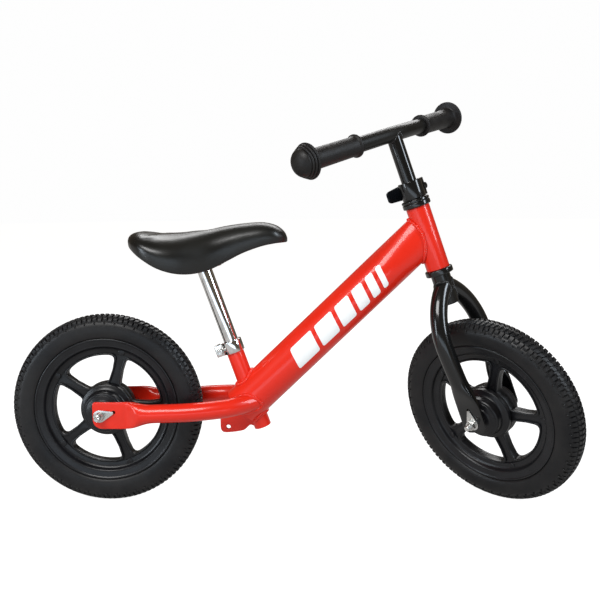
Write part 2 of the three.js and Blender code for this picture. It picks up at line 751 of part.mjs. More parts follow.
// The handlebar's quick release: a band with ears to the fork's left, a bolt through them, and
// a curved lever at the rear that turns on a pin.
function addBarClamp() {
  const clamp = new THREE.Group();
  clamp.position.z = BAR_CLAMP_FROM;
  clamp.rotation.z = Math.PI / 2; // local X to the left, local Y to the rear
  steering.add(clamp);
  const outline = bandShape(STEERER_RADIUS + GAP, 2.7, 26.6, BAR_EAR_HALF, 1.6);
  const band = plate(outline, 0, BAR_CLAMP_HEIGHT, 12);
  const level = BAR_CLAMP_HEIGHT / 2;
  const boltStart = new THREE.Vector3(BAR_BOLT_REACH, -30, level);
  const hole = clearance(boltStart, yAxis, 3.3, 60, 12);
  add(clamp, 'bar_clamp_band', cut(band, hole), 'black_paint');
  const bolt = new THREE.Group();
  bolt.position.set(BAR_BOLT_REACH, 0, level);
  bolt.rotation.x = -Math.PI / 2; // local Z to the rear
  clamp.add(bolt);
  const face = BAR_EAR_HALF + GAP;
  const shank = rod(2.9, -face - 4.4, LEVER_PIVOT - 3.6, 12);
  add(bolt, 'bar_clamp_bolt', shank, 'black_paint');
  add(bolt, 'bar_clamp_nut', nut(9, 2.9 + GAP, -face - 3.6, -face), 'black_paint');
  const pivot = new THREE.Vector3(BAR_BOLT_REACH, LEVER_PIVOT, level);
  const pin = add(clamp, 'lever_pivot_pin', rod(3.2, -10.5, 10.5, 16), 'zinc');
  pin.position.copy(pivot);
  const lever = add(clamp, 'bar_clamp_lever', leverShape(), 'black_paint');
  lever.position.copy(pivot);
}

// Seen along the pin: a round cam at the pin, then a blade that bows round the rear of the
// clamp, with its tip to the right.
function leverShape() {
  const cam = 5.6;
  const at = (x, y) => [x - BAR_BOLT_REACH, y - LEVER_PIVOT]; // from the clamp's own axis
  const outline = new THREE.Shape();
  outline.moveTo(...at(17, 16));
  outline.quadraticCurveTo(...at(3, 26), ...at(-23, 27));
  outline.lineTo(...at(-23.5, 30.4));
  outline.quadraticCurveTo(...at(5, 32), ...at(22, 17.6));
  outline.lineTo(...at(20, 14));
  const blade = plate(outline, -10, 10, 6);
  const knuckle = rod(cam, -10, 10, 14);
  const room = rod(3.2 + GAP, -11, 11, 14);
  const slot = rod(8, -3.7, 3.7, 20); // the bolt stays in it as the lever turns
  return cut(joined(blade, knuckle), room, slot);
}

// ---- handlebar ----
// Half of the bar, from the middle out to the left: straight for a little, then swept back.
function barPath() {
  const reach = BAR_HALF_LENGTH * Math.cos(BAR_SWEEP);
  const bend = 16;
  const back = (y) => -Math.max(0, Math.abs(y) - bend) * Math.tan(BAR_SWEEP);
  const curve = new THREE.CurvePath();
  const point = (y) => new THREE.Vector3(back(y), y, BAR_HEIGHT);
  curve.add(new THREE.LineCurve3(point(-reach), point(-bend - 8)));
  curve.add(new THREE.QuadraticBezierCurve3(point(-bend - 8), point(-bend), point(0)));
  curve.add(new THREE.QuadraticBezierCurve3(point(0), point(bend), point(bend + 8)));
  curve.add(new THREE.LineCurve3(point(bend + 8), point(reach)));
  return curve;
}

function barRings(radius) {
  const path = barPath();
  const stops = [0, 0.425, 0.46, 0.5, 0.54, 0.575, 1];
  return stops.map((share) => {
    const centre = path.getPointAt(share);
    const along = path.getTangentAt(share);
    const side = new THREE.Vector3().crossVectors(zAxis, along).normalize();
    return oval(centre, side, zAxis, radius, radius, 2, ROUND);
  });
}

function gripShape() {
  const bore = BAR_RADIUS + GAP;
  const blind = BAR_HALF_LENGTH + 1;
  const f = GRIP_FLANGE;
  return turned([
    [0, blind],
    [bore, blind],
    [bore, GRIP_FROM],
    [14.2, GRIP_FROM],
    [16.6, GRIP_FROM + 3],
    [14.3, GRIP_FROM + 7],
    [14.5, f],
    [24, f],
    [25, f + 2],
    [23, f + 7],
    [20.5, f + 13],
    [15, f + 18.5],
    [0, f + 23.5],
  ]);
}

function addHandlebar() {
  const bar = cut(skin(barRings(BAR_RADIUS)), skin(longer(barRings(BAR_RADIUS - 1.6))));
  add(steering, 'handlebar_tube', bar, 'black_paint');
  const stem = pipe(STEM_RADIUS, STEM_RADIUS - 1.6, STEM_FROM, BAR_HEIGHT);
  const room = skin(barRings(BAR_RADIUS + GAP));
  add(steering, 'stem_tube', cut(stem, room), 'black_paint');
  for (const [hand, way] of [['right', -1], ['left', 1]]) {
    const grip = add(steering, `grip_${hand}`, gripShape(), 'rubber');
    const outward = new THREE.Vector3(-Math.sin(BAR_SWEEP), way * Math.cos(BAR_SWEEP), 0);
    grip.quaternion.setFromUnitVectors(zAxis, outward);
    const onBar = new THREE.Vector3(0, 0, BAR_HEIGHT);
    onBar.x = 16 * Math.tan(BAR_SWEEP); // the swept halves would meet ahead of the stem
    grip.position.copy(onBar);
  }
}

function longer(rings) {
  const [first, second] = rings;
  const [last, before] = [rings.at(-1), rings.at(-2)];
  const extend = (ring, from) => ring.map((p, i) => p.clone().lerp(from[i], -0.01));
  return [extend(first, second), ...rings, extend(last, before)];
}

// ---- seat ----
// The saddle's side view, station by station from the rear tip to the nose.
const saddleSections = [
  // x, underside, top, half width
  [43.5, 398.5, 405, 15],
  [48.5, 393, 411, 34],
  [58, 386.5, 414.3, 51],
  [72, 377.5, 413.8, 64],
  [94, 364.8, 411, 70],
  [118, 356.6, 411.2, 67],
  [142, 354.6, 413.8, 57],
  [166, 359.3, 417.4, 45.5],
  [190, 370.6, 422, 38.5],
  [214, 382.6, 425.4, 35],
  [240, 391.8, 427, 32],
  [258, 397, 422.8, 26],
  [270, 399.6, 415.5, 19],
  [276.5, 402, 407, 9],
];
const SADDLE_BASE_HEIGHT = 9;

function saddleRings(lower, upper, inset, bulge) {
  const rings = saddleSections.map(([x, low, high, half]) => {
    const bottom = lower(low, high);
    const top = upper(low, high);
    const centre = new THREE.Vector3(x, 0, (bottom + top) / 2);
    const wide = Math.max(half - inset, 3);
    return oval(centre, yAxis, zAxis, wide, (top - bottom) / 2, bulge, 16);
  });
  return rings;
}

const SADDLE_TILT = THREE.MathUtils.degToRad(-11);
const SADDLE_SEAT = new THREE.Vector3(152, 0, 364); // top of the post's plate

function plateRoom(grow) {
  const box = new THREE.BoxGeometry(64 + grow * 2, 44 + grow * 2, 30);
  box.translate(0, 0, -15 + grow);
  box.rotateY(SADDLE_TILT);
  box.translate(SADDLE_SEAT.x, SADDLE_SEAT.y, SADDLE_SEAT.z);
  return box;
}

function addSaddle() {
  const base = skin(saddleRings((low) => low, (low, high) => {
    return low + Math.min(SADDLE_BASE_HEIGHT, (high - low) * 0.4);
  }, 5, 4));
  const cushion = skin(saddleRings((low, high) => {
    return low + Math.min(SADDLE_BASE_HEIGHT, (high - low) * 0.4) + GAP;
  }, (low, high) => high, 0, 2.5));
  const plateSeat = new THREE.Group();
  plateSeat.position.copy(SADDLE_SEAT);
  plateSeat.rotation.y = SADDLE_TILT;
  bike.add(plateSeat);
  const screws = [];
  const holes = [];
  for (const [name, x, y] of [['1', 24, 14], ['2', 24, -14], ['3', -24, 14], ['4', -24, -14]]) {
    screws.push([name, x, y]);
    const hole = rod(2.8, -12, 4.4, 12);
    hole.translate(x, y, 0);
    holes.push(hole);
  }
  const mount = new THREE.BoxGeometry(60, 40, 3);
  mount.translate(0, 0, -1.5 - GAP);
  const plateBody = cut(mount, ...holes);
  add(plateSeat, 'saddle_plate', plateBody, 'zinc');
  for (const [name, x, y] of screws) {
    const screw = turned([[0, -6.2], [4.6, -6.2], [4.6, -3.6], [2.4, -3.6], [2.4, 4], [0, 4]], 12);
    add(plateSeat, `saddle_screw_${name}`, screw, 'zinc').position.set(x, y, 0);
  }
  const turn = (geometry) => {
    const copy = geometry.clone();
    copy.rotateY(SADDLE_TILT);
    copy.translate(SADDLE_SEAT.x, SADDLE_SEAT.y, SADDLE_SEAT.z);
    return copy;
  };
  add(bike, 'saddle_base', cut(base, plateRoom(GAP), ...holes.map(turn)), 'seat_base');
  add(bike, 'saddle_cushion', cushion, 'vinyl');
}

function addSeatPost() {
  const post = pipe(POST_RADIUS, POST_RADIUS - 1.6, POST_FROM, POST_TO + 20);
  const above = new THREE.BoxGeometry(90, 90, 60);
  above.translate(0, 0, 30 - 3 - GAP * 2);
  above.rotateY(SADDLE_TILT);
  above.translate(SADDLE_SEAT.x, SADDLE_SEAT.y, SADDLE_SEAT.z);
  seat.updateMatrixWorld(true);
  above.applyMatrix4(seat.matrixWorld.clone().invert());
  add(seat, 'seat_post', cut(post, above), 'chrome');
}

// ---- assembly ----
const REAR_SPOKE_ANGLE = THREE.MathUtils.degToRad(2);
const FRONT_SPOKE_ANGLE = THREE.MathUtils.degToRad(-11);

addFrame();
addFork();
addWheel(rearAxle, 'rear', REAR_SPOKE_ANGLE);
addWheel(frontAxle, 'front', FRONT_SPOKE_ANGLE);
addWashers(rearAxle, 'rear', TAB_ANGLE);
addWashers(frontAxle, 'front', Math.PI / 2);
addSeatClamp();
addBarClamp();
addHandlebar();
addSeatPost();
addSaddle();

// Put the origin on the ground under the middle of the whole bike's box.
bike.updateMatrixWorld(true);
const box = new THREE.Box3().setFromObject(bike, true);
bike.position.set(-(box.min.x + box.max.x) / 2, -(box.min.y + box.max.y) / 2, -box.min.z);
bike.updateMatrixWorld(true);

export default bike;
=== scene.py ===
"""Child's balance bike: red welded frame, black fork and handlebar, moulded five-spoke wheels
with foam tyres, glossy padded saddle on a chromed post. Pieces are drawn in millimetres in the
axes of the part they belong to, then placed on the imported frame."""
import json
import math

import bmesh
import bpy
from mathutils import Matrix, Vector


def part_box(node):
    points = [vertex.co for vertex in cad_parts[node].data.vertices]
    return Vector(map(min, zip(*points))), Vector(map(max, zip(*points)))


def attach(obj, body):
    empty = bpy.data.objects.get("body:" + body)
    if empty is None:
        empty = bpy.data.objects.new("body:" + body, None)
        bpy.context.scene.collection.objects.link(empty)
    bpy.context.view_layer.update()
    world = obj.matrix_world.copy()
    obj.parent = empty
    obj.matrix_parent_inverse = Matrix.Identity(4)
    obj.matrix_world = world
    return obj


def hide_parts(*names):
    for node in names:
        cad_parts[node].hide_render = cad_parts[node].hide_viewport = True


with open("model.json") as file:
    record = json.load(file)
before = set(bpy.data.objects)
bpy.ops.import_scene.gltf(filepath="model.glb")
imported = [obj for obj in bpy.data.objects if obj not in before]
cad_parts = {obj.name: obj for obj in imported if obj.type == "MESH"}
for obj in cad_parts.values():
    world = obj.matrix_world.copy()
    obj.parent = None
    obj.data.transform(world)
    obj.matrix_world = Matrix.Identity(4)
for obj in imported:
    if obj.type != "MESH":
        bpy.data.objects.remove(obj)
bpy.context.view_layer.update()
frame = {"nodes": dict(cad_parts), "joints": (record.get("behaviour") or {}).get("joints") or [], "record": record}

MM = 0.001
TURN = 2 * math.pi
JOINTS = {joint["name"]: joint for joint in frame["joints"]}


def linked(name, data):
    """A new object in the scene with this data."""
    thing = bpy.data.objects.new(name, data)
    bpy.context.scene.collection.objects.link(thing)
    return thing


# ---- camera, floor and lights ----
def add_camera():
    camera = linked("camera", bpy.data.cameras.new("camera"))
    camera.data.lens = 44.25
    camera.data.clip_end = 100
    yaw, pitch, roll = (math.radians(a) for a in (1.6, 7.98, -0.49))
    turn = (
        Matrix.Rotation(yaw, 4, "Z")
        @ Matrix.Rotation(math.pi / 2 - pitch, 4, "X")
        @ Matrix.Rotation(roll, 4, "Z")
    )
    camera.matrix_world = Matrix.Translation((0.0505, -1.1048, 0.4632)) @ turn
    bpy.context.scene.camera = camera


def add_soft_light(name, spot, aim, size, power, tint=(1, 1, 1)):
    lamp = bpy.data.lights.new(name, "AREA")
    lamp.shape = "RECTANGLE"
    lamp.size, lamp.size_y = size
    lamp.energy = power
    lamp.color = tint
    way = Vector(aim) - Vector(spot)
    turn = way.to_track_quat("-Z", "Y").to_matrix().to_4x4()
    linked(name, lamp).matrix_world = Matrix.Translation(spot) @ turn


def split_for_camera(tree, dim, bright, out):
    """Camera rays meet the bright shader, and all other rays the dim one."""
    path = tree.nodes.new("ShaderNodeLightPath")
    pick = tree.nodes.new("ShaderNodeMixShader")
    tree.links.new(path.outputs["Is Camera Ray"], pick.inputs[0])
    tree.links.new(dim.outputs[0], pick.inputs[1])
    tree.links.new(bright.outputs[0], pick.inputs[2])
    tree.links.new(pick.outputs[0], out.inputs["Surface"])


def add_world():
    world = bpy.data.worlds.new("studio")
    world.use_nodes = True
    bpy.context.scene.world = world
    tree = world.node_tree
    tree.nodes.clear()
    shaders = []
    for color, strength in (((1, 0.84, 0.64, 1), 0.13), ((1, 1, 1, 1), 0.99)):
        shader = tree.nodes.new("ShaderNodeBackground")
        shader.inputs["Color"].default_value = color
        shader.inputs["Strength"].default_value = strength
        shaders.append(shader)
    split_for_camera(tree, *shaders, tree.nodes.new("ShaderNodeOutputWorld"))


def add_floor():
    mesh = bpy.data.meshes.new("floor")
    shape = bmesh.new()
    bmesh.ops.create_circle(shape, cap_ends=True, segments=96, radius=14)
    shape.to_mesh(mesh)
    shape.free()
    pale = bpy.data.materials.new("pale_floor")
    pale.use_nodes = True
    tree = pale.node_tree
    tree.nodes.clear()
    shaders = []
    for color, strength in (((1, 0.97, 0.93, 1), 0.30), ((1, 1, 1, 1), 0.97)):
        shader = tree.nodes.new("ShaderNodeBsdfPrincipled")
        shader.inputs["Base Color"].default_value = (0.25, 0.25, 0.25, 1)
        shader.inputs["Roughness"].default_value = 0.9
        shader.inputs["Specular IOR Level"].default_value = 0.1
        shader.inputs["Emission Color"].default_value = color
        shader.inputs["Emission Strength"].default_value = strength
        shaders.append(shader)
    split_for_camera(tree, *shaders, tree.nodes.new("ShaderNodeOutputMaterial"))
    mesh.materials.append(pale)
    linked("floor", mesh)


def add_studio():
    bpy.context.scene.view_settings.view_transform = "Standard"
    add_world()
    add_soft_light("key", (-0.9, -1.7, 2.1), (0, 0, 0.3), (1.5, 0.9), 50)
    add_soft_light("side", (2.0, -0.9, 1.5), (0.1, 0, 0.3), (0.5, 1.5), 34, (0.8, 0.9, 1))
    add_soft_light("back", (0.2, 1.7, 1.9), (0, 0, 0.25), (2.0, 0.7), 26)
    add_soft_light("front", (-0.2, -1.6, 0.16), (-0.1, 0, 0.3), (2.2, 0.35), 4.5, (0.7, 0.85, 1))
    add_soft_light("low", (-2.0, -1.2, 0.5), (0, 0, 0.2), (0.5, 1.0), 14, (0.8, 0.9, 1))
    add_floor()


# ---- axes that the pieces are drawn in ----
def axes(origin, z_way, y_way):
    """Millimetres in a part's own axes to the model's metres."""
    z = Vector(z_way).normalized()
    y = Vector(y_way)
    y = (y - z * y.dot(z)).normalized()
    turn = Matrix((y.cross(z), y, z)).transposed().to_4x4()
    return Matrix.Translation(origin) @ turn @ Matrix.Scale(MM, 4)


def middle(node):
    low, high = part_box(node)
    return (Vector(low) + Vector(high)) / 2


STEER_WAY = Vector(JOINTS["steering"]["axis"])
STEER_FOOT = Vector(JOINTS["steering"]["pos_m"])
AXLE_WAY = Vector(JOINTS["front_wheel_spin"]["axis"])
SEAT_WAY = Vector(JOINTS["seat_post_height"]["axis"])
REAR_AXLE = Vector(JOINTS["rear_wheel_spin"]["pos_m"])
FRONT_AXLE = Vector(JOINTS["front_wheel_spin"]["pos_m"])
LEFT = Vector((0, 1, 0))
SEAT_TUBE_LENGTH = 140

BIKE = axes((REAR_AXLE.x, REAR_AXLE.y, 0), (0, 0, 1), LEFT)
STEER = axes(STEER_FOOT, STEER_WAY, AXLE_WAY)
HEAD = axes(STEER_FOOT, STEER_WAY, LEFT)
SEAT = axes(middle("seat_tube") - SEAT_WAY * SEAT_TUBE_LENGTH / 2 * MM, SEAT_WAY, LEFT)
REAR_WHEEL = axes(REAR_AXLE, -LEFT, (0, 0, 1))
FRONT_WHEEL = axes(FRONT_AXLE, -AXLE_WAY, STEER_WAY)
HEAD_IN_BIKE = BIKE.inverted() @ HEAD
SEAT_IN_BIKE = BIKE.inverted() @ SEAT


# ---- mesh makers ----
def mix(a, b, share):
    return a + (b - a) * share


def smooth(share):
    share = min(max(share, 0), 1)
    return share * share * (3 - 2 * share)


def cleaned(mesh, reach):
    """Merges points closer than reach and turns the faces outwards."""
    shape = bmesh.new()
    shape.from_mesh(mesh)
    bmesh.ops.remove_doubles(shape, verts=shape.verts, dist=reach)
    bmesh.ops.recalc_face_normals(shape, faces=shape.faces)
    shape.to_mesh(mesh)
    shape.free()


def mesh_object(name, points, faces, where=None, crease=34):
    mesh = bpy.data.meshes.new(name)
    mesh.from_pydata([tuple(p) for p in points], [], faces)
    cleaned(mesh, 1e-5)
    if where is not None:
        mesh.transform(where)
    piece = linked(name, mesh)
    soften(piece, crease)
    return piece


def soften(piece, crease=34):
    piece.data.shade_smooth()
    piece.data.set_sharp_from_angle(angle=math.radians(crease))


def plain(piece, name=None):
    """The piece with its modifiers worked into a plain mesh."""
    view = bpy.context.evaluated_depsgraph_get()
    view.update()
    mesh = bpy.data.meshes.new_from_object(piece.evaluated_get(view))
    result = linked(name or piece.name, mesh)
    result.matrix_world = piece.matrix_world
    old = piece.name
    bpy.data.objects.remove(piece)
    result.name = name or old
    return result


def joined(name, *pieces):
    shape = bmesh.new()
    for piece in pieces:
        shape.from_mesh(piece.data)
    mesh = bpy.data.meshes.new(name)
    shape.to_mesh(mesh)
    shape.free()
    for piece in pieces:
        bpy.data.objects.remove(piece)
    return linked(name, mesh)


def placed(piece, where):
    piece.data.transform(where)
    return piece


def skin_faces(rows, size, ends=True, loop=False):
    """Faces over rows of points; the ends are closed, or the last row meets the first."""
    faces = []
    spans = rows if loop else rows - 1
    for i in range(spans):
        a, b = i * size, (i + 1) % rows * size
        for j in range(size):
            k = (j + 1) % size
            faces.append((a + j, a + k, b + k, b + j))
    if ends and not loop:
        faces.append(tuple(range(size))[::-1])
        faces.append(tuple(range((rows - 1) * size, rows * size)))
    return faces


def skin(name, rings, where=None, ends=True, loop=False, crease=34):
    points = [p for ring in rings for p in ring]
    faces = skin_faces(len(rings), len(rings[0]), ends, loop)
    return mesh_object(name, points, faces, where, crease)


def rounded(corners, bend=0.6, steps=4, closed=True):
    """A drawn outline with its corners rounded. A corner may carry its own bend."""
    result = []
    count = len(corners)
    for i, corner in enumerate(corners):
        here = Vector(corner[:2])
        if not closed and i in (0, count - 1):
            result.append(here)
            continue
        own = corner[2] if len(corner) > 2 else bend
        before = Vector(corners[i - 1][:2]) - here
        after = Vector(corners[(i + 1) % count][:2]) - here
        start = here + before.normalized() * min(own, before.length * 0.45)
        end = here + after.normalized() * min(own, after.length * 0.45)
        for k in range(steps + 1):
            t = k / steps
            result.append(start * (1 - t) ** 2 + here * 2 * t * (1 - t) + end * t * t)
    return result


def turned(name, profile, where=None, sides=64, closed=True, crease=34):
    """A turned shape from (radius, height) points; an open profile ends on the axis."""
    angles = [TURN * j / sides for j in range(sides)]
    rings = [[(r * math.cos(a), r * math.sin(a), z) for a in angles] for r, z in profile]
    return skin(name, rings, where, False, closed, crease)


def oval(centre, side, rise, half_wide, half_tall, squareness=2, count=48):
    power = 2 / squareness
    ring = []
    for j in range(count):
        c, s = math.cos(TURN * j / count), math.sin(TURN * j / count)
        a = math.copysign(abs(c) ** power, c) * half_wide
        b = math.copysign(abs(s) ** power, s) * half_tall
        ring.append(Vector(centre) + Vector(side) * a + Vector(rise) * b)
    return ring


def path_points(corners, steps=14):
    """A smooth path through the given points."""
    pts = [Vector(c) for c in corners]
    pts = [pts[0] * 2 - pts[1], *pts, pts[-1] * 2 - pts[-2]]
    result = []
    for i in range(1, len(pts) - 2):
        a, b, c, d = pts[i - 1 : i + 3]
        for k in range(steps):
            t = k / steps
            result.append(
                (b * 2 + (c - a) * t + (a * 2 - b * 5 + c * 4 - d) * t * t
                 + (b * 3 - a - c * 3 + d) * t ** 3) * 0.5
            )
    result.append(pts[-2])
    return result


def ways(points):
    result = []
    for i in range(len(points)):
        step = points[min(i + 1, len(points) - 1)] - points[max(i - 1, 0)]
        result.append(step.normalized())
    return result


def plate(name, outline, low, high, bevel=0.6, where=None, holes=()):
    """A flat drawn outline given thickness from low to high, with bevelled edges."""
    curve = bpy.data.curves.new(name, "CURVE")
    curve.dimensions = "2D"
    curve.fill_mode = "BOTH"
    curve.extrude = (high - low) / 2 - bevel
    curve.bevel_depth = bevel
    curve.bevel_resolution = 2
    curve.offset = -bevel
    for loop in (outline, *holes):
        spline = curve.splines.new("POLY")
        spline.points.add(len(loop) - 1)
        for point, (x, y) in zip(spline.points, [p[:2] for p in loop]):
            point.co = (x, y, 0, 1)
        spline.use_cyclic_u = True
    flat = plain(linked(name, curve), name)
    flat.data.transform(Matrix.Translation((0, 0, (low + high) / 2)))
    cleaned(flat.data, 1e-4)
    if where is not None:
        flat.data.transform(where)
    soften(flat)
    return flat


def circle(radius, count=40, x=0, y=0):
    angles = [TURN * k / count for k in range(count)]
    return [(x + radius * math.cos(a), y + radius * math.sin(a)) for a in angles]


def rod(name, radius, start, way, length, sides=40):
    """A round bar from start along way, for cutting a hole or a room."""
    where = axes(Vector(start), Vector(way), Vector((0.31, 0.83, 0.46))) @ Matrix.Scale(1 / MM, 4)
    rings = [oval((0, 0, z), (1, 0, 0), (0, 1, 0), radius, radius, 2, sides) for z in (0, length)]
    return skin(name, rings, where)


def carved(piece, *cutters):
    """The piece less the cutters, which are used up."""
    for cutter in cutters:
        cut = piece.modifiers.new("cut", "BOOLEAN")
        cut.operation = "DIFFERENCE"
        cut.solver = "EXACT"
        cut.object = cutter
        piece = plain(piece)
        bpy.data.objects.remove(cutter)
    cleaned(piece.data, 1e-4)
    soften(piece)
    return piece


# ---- repeated features, by geometry nodes ----
def new_tree(name, numbers):
    tree = bpy.data.node_groups.new(name, "GeometryNodeTree")
    face = tree.interface
    face.new_socket("Geometry", in_out="INPUT", socket_type="NodeSocketGeometry")
    for label, kind, start in numbers:
        socket = face.new_socket(label, in_out="INPUT", socket_type=f"NodeSocket{kind}")
        socket.default_value = start
    face.new_socket("Material", in_out="INPUT", socket_type="NodeSocketMaterial")
    face.new_socket("Geometry", in_out="OUTPUT", socket_type="NodeSocketGeometry")
    return tree


def tree_end(tree, source, geometry):
    """Every tree ends alike: real geometry, then its material."""
    real = tree.nodes.new("GeometryNodeRealizeInstances")
    paint = tree.nodes.new("GeometryNodeSetMaterial")
    out = tree.nodes.new("NodeGroupOutput")
    tree.links.new(geometry, real.inputs["Geometry"])
    tree.links.new(real.outputs["Geometry"], paint.inputs["Geometry"])
    tree.links.new(source.outputs["Material"], paint.inputs["Material"])
    tree.links.new(paint.outputs["Geometry"], out.inputs["Geometry"])


def maths(tree, operation, *values):
    node = tree.nodes.new("ShaderNodeMath")
    node.operation = operation
    for socket, value in zip(node.inputs, values):
        if isinstance(value, (int, float)):
            socket.default_value = value
        else:
            tree.links.new(value, socket)
    return node.outputs[0]


def round_tree():
    """Copies of the given shape, evenly round the Z axis."""
    tree = new_tree("round_the_axle", [("Count", "Int", 5), ("Start", "Float", 0.0)])
    source = tree.nodes.new("NodeGroupInput")
    spots = tree.nodes.new("GeometryNodePoints")
    copies = tree.nodes.new("GeometryNodeInstanceOnPoints")
    index = tree.nodes.new("GeometryNodeInputIndex")
    angle = tree.nodes.new("ShaderNodeCombineXYZ")
    turn = tree.nodes.new("FunctionNodeEulerToRotation")
    tree.links.new(source.outputs["Count"], spots.inputs["Count"])
    step = maths(tree, "DIVIDE", TURN, source.outputs["Count"])
    spin = maths(tree, "MULTIPLY_ADD", index.outputs[0], step, source.outputs["Start"])
    tree.links.new(spin, angle.inputs["Z"])
    tree.links.new(angle.outputs[0], turn.inputs[0])
    tree.links.new(spots.outputs[0], copies.inputs["Points"])
    tree.links.new(source.outputs["Geometry"], copies.inputs["Instance"])
    tree.links.new(turn.outputs[0], copies.inputs["Rotation"])
    tree_end(tree, source, copies.outputs["Instances"])
    return tree


def bead_tree():
    """Overlapping weld beads along the given path."""
    numbers = [("Spacing", "Float", 1.5), ("Bead", "Float", 2.5), ("Flatness", "Float", 0.7)]
    tree = new_tree("weld_beads", numbers)
    source = tree.nodes.new("NodeGroupInput")
    even = tree.nodes.new("GeometryNodeResampleCurve")
    even.mode = "LENGTH"
    spots = tree.nodes.new("GeometryNodeCurveToPoints")
    spots.mode = "EVALUATED"
    ball = tree.nodes.new("GeometryNodeMeshIcoSphere")
    ball.inputs["Subdivisions"].default_value = 3
    copies = tree.nodes.new("GeometryNodeInstanceOnPoints")
    scale = tree.nodes.new("ShaderNodeCombineXYZ")
    tree.links.new(source.outputs["Geometry"], even.inputs["Curve"])
    tree.links.new(source.outputs["Spacing"], even.inputs["Length"])
    tree.links.new(even.outputs[0], spots.inputs["Curve"])
    tree.links.new(source.outputs["Bead"], ball.inputs["Radius"])
    tree.links.new(spots.outputs["Points"], copies.inputs["Points"])
    tree.links.new(spots.outputs["Rotation"], copies.inputs["Rotation"])
    tree.links.new(ball.outputs["Mesh"], copies.inputs["Instance"])
    scale.inputs["X"].default_value = 1
    scale.inputs["Y"].default_value = 1
    tree.links.new(source.outputs["Flatness"], scale.inputs["Z"])
    tree.links.new(scale.outputs[0], copies.inputs["Scale"])
    tree_end(tree, source, copies.outputs["Instances"])
    return tree


def with_nodes(piece, tree, material, **values):
    """Runs the tree on the piece and returns the result as a plain mesh."""
    modifier = piece.modifiers.new(tree.name, "NODES")
    modifier.node_group = tree
    wanted = {**values, "Material": material}
    for item in tree.interface.items_tree:
        if item.in_out == "INPUT" and item.name in wanted:
            modifier[item.identifier] = wanted[item.name]
    result = plain(piece)
    soften(result)
    return result


ROUND_TREE = round_tree()
BEAD_TREE = bead_tree()


def welded(name, loop, material, where, bead):
    """A weld of beads of this radius along a closed loop."""
    curve = bpy.data.curves.new(name, "CURVE")
    curve.dimensions = "3D"
    spline = curve.splines.new("POLY")
    spline.points.add(len(loop) - 1)
    for point, place in zip(spline.points, loop):
        point.co = (*place, 1)
    spline.use_cyclic_u = True
    sizes = {"Spacing": bead * 0.55, "Bead": bead, "Flatness": 0.62}
    beads = with_nodes(linked(name, curve), BEAD_TREE, material, **sizes)
    return placed(beads, where)


def crossing(rings, inside):
    """Where each line that runs along the rings first comes inside."""
    loop = []
    for j in range(len(rings[0])):
        line = [Vector(ring[j]) for ring in rings]
        for a, b in zip(line, line[1:]):
            if inside(b) and not inside(a):
                for _ in range(14):
                    half = (a + b) / 2
                    a, b = (a, half) if inside(half) else (half, b)
                loop.append((a + b) / 2)
                break
    return loop


def within(point, way, radius):
    point, way = Vector(point), Vector(way)
    return lambda p: (p - point - way * (p - point).dot(way)).length < radius


# ---- finishes ----
def finish(name, color, roughness, **sockets):
    """A plain material, its node tree and its shader."""
    material = bpy.data.materials.new(name)
    material.use_nodes = True
    shader = material.node_tree.nodes["Principled BSDF"]
    shader.inputs["Base Color"].default_value = (*color, 1)
    shader.inputs["Roughness"].default_value = roughness
    for key, value in sockets.items():
        shader.inputs[key.replace("_", " ")].default_value = value
    material.diffuse_color = (*color, 1)
    return material, material.node_tree, shader


def pattern(tree, kind, scale, stretch=(1, 1, 1), feature=None, **values):
    """A texture on the object's own coordinates, in features per metre."""
    place = tree.nodes.new("ShaderNodeTexCoord")
    shift = tree.nodes.new("ShaderNodeMapping")
    shift.inputs["Scale"].default_value = stretch
    texture = tree.nodes.new(f"ShaderNode{kind}")
    if feature:
        texture.feature = feature
    for label, value in {"Scale": scale, **values}.items():
        texture.inputs[label].default_value = value
    tree.links.new(place.outputs["Object"], shift.inputs["Vector"])
    tree.links.new(shift.outputs[0], texture.inputs["Vector"])
    return texture


def spread(tree, value, low, high, from_low=0.3, from_high=0.7):
    """The value's range from_low to from_high, spread over low to high."""
    ranged = tree.nodes.new("ShaderNodeMapRange")
    limits = {"From Min": from_low, "From Max": from_high, "To Min": low, "To Max": high}
    for label, limit in limits.items():
        ranged.inputs[label].default_value = limit
    tree.links.new(value, ranged.inputs["Value"])
    return ranged.outputs[0]


def tint(tree, value, first, second, low=0.35, high=0.65):
    ramp = tree.nodes.new("ShaderNodeValToRGB")
    ramp.color_ramp.elements[0].position = low
    ramp.color_ramp.elements[1].position = high
    ramp.color_ramp.elements[0].color = (*first, 1)
    ramp.color_ramp.elements[1].color = (*second, 1)
    tree.links.new(value, ramp.inputs[0])
    return ramp.outputs[0]


def bumped(tree, shader, *layers):
    """Bump layers, each (height, strength, depth in metres)."""
    normal = None
    for height, strength, depth in layers:
        bump = tree.nodes.new("ShaderNodeBump")
        bump.inputs["Strength"].default_value = strength
        bump.inputs["Distance"].default_value = depth
        tree.links.new(height, bump.inputs["Height"])
        if normal is not None:
            tree.links.new(normal, bump.inputs["Normal"])
        normal = bump.outputs[0]
    tree.links.new(normal, shader.inputs["Normal"])


def enamel(name, color, deeper, roughness, coat):
    """Sprayed gloss paint: slight orange peel, and a little colour and gloss variation."""
    coating = {"Coat_Weight": coat, "Coat_Roughness": 0.06}
    material, tree, shader = finish(name, color, roughness, Specular_IOR_Level=0.25, **coating)
    cloud = pattern(tree, "TexNoise", 9, Detail=3)
    peel = pattern(tree, "TexNoise", 420, Detail=2)
    dust = pattern(tree, "TexNoise", 1500, Detail=1)
    tree.links.new(tint(tree, cloud.outputs[0], deeper, color), shader.inputs["Base Color"])
    gloss = spread(tree, cloud.outputs[0], roughness * 0.85, roughness * 1.25)
    tree.links.new(gloss, shader.inputs["Roughness"])
    bumped(tree, shader, (peel.outputs[0], 0.06, 0.0005), (dust.outputs[0], 0.03, 0.0001))
    return material


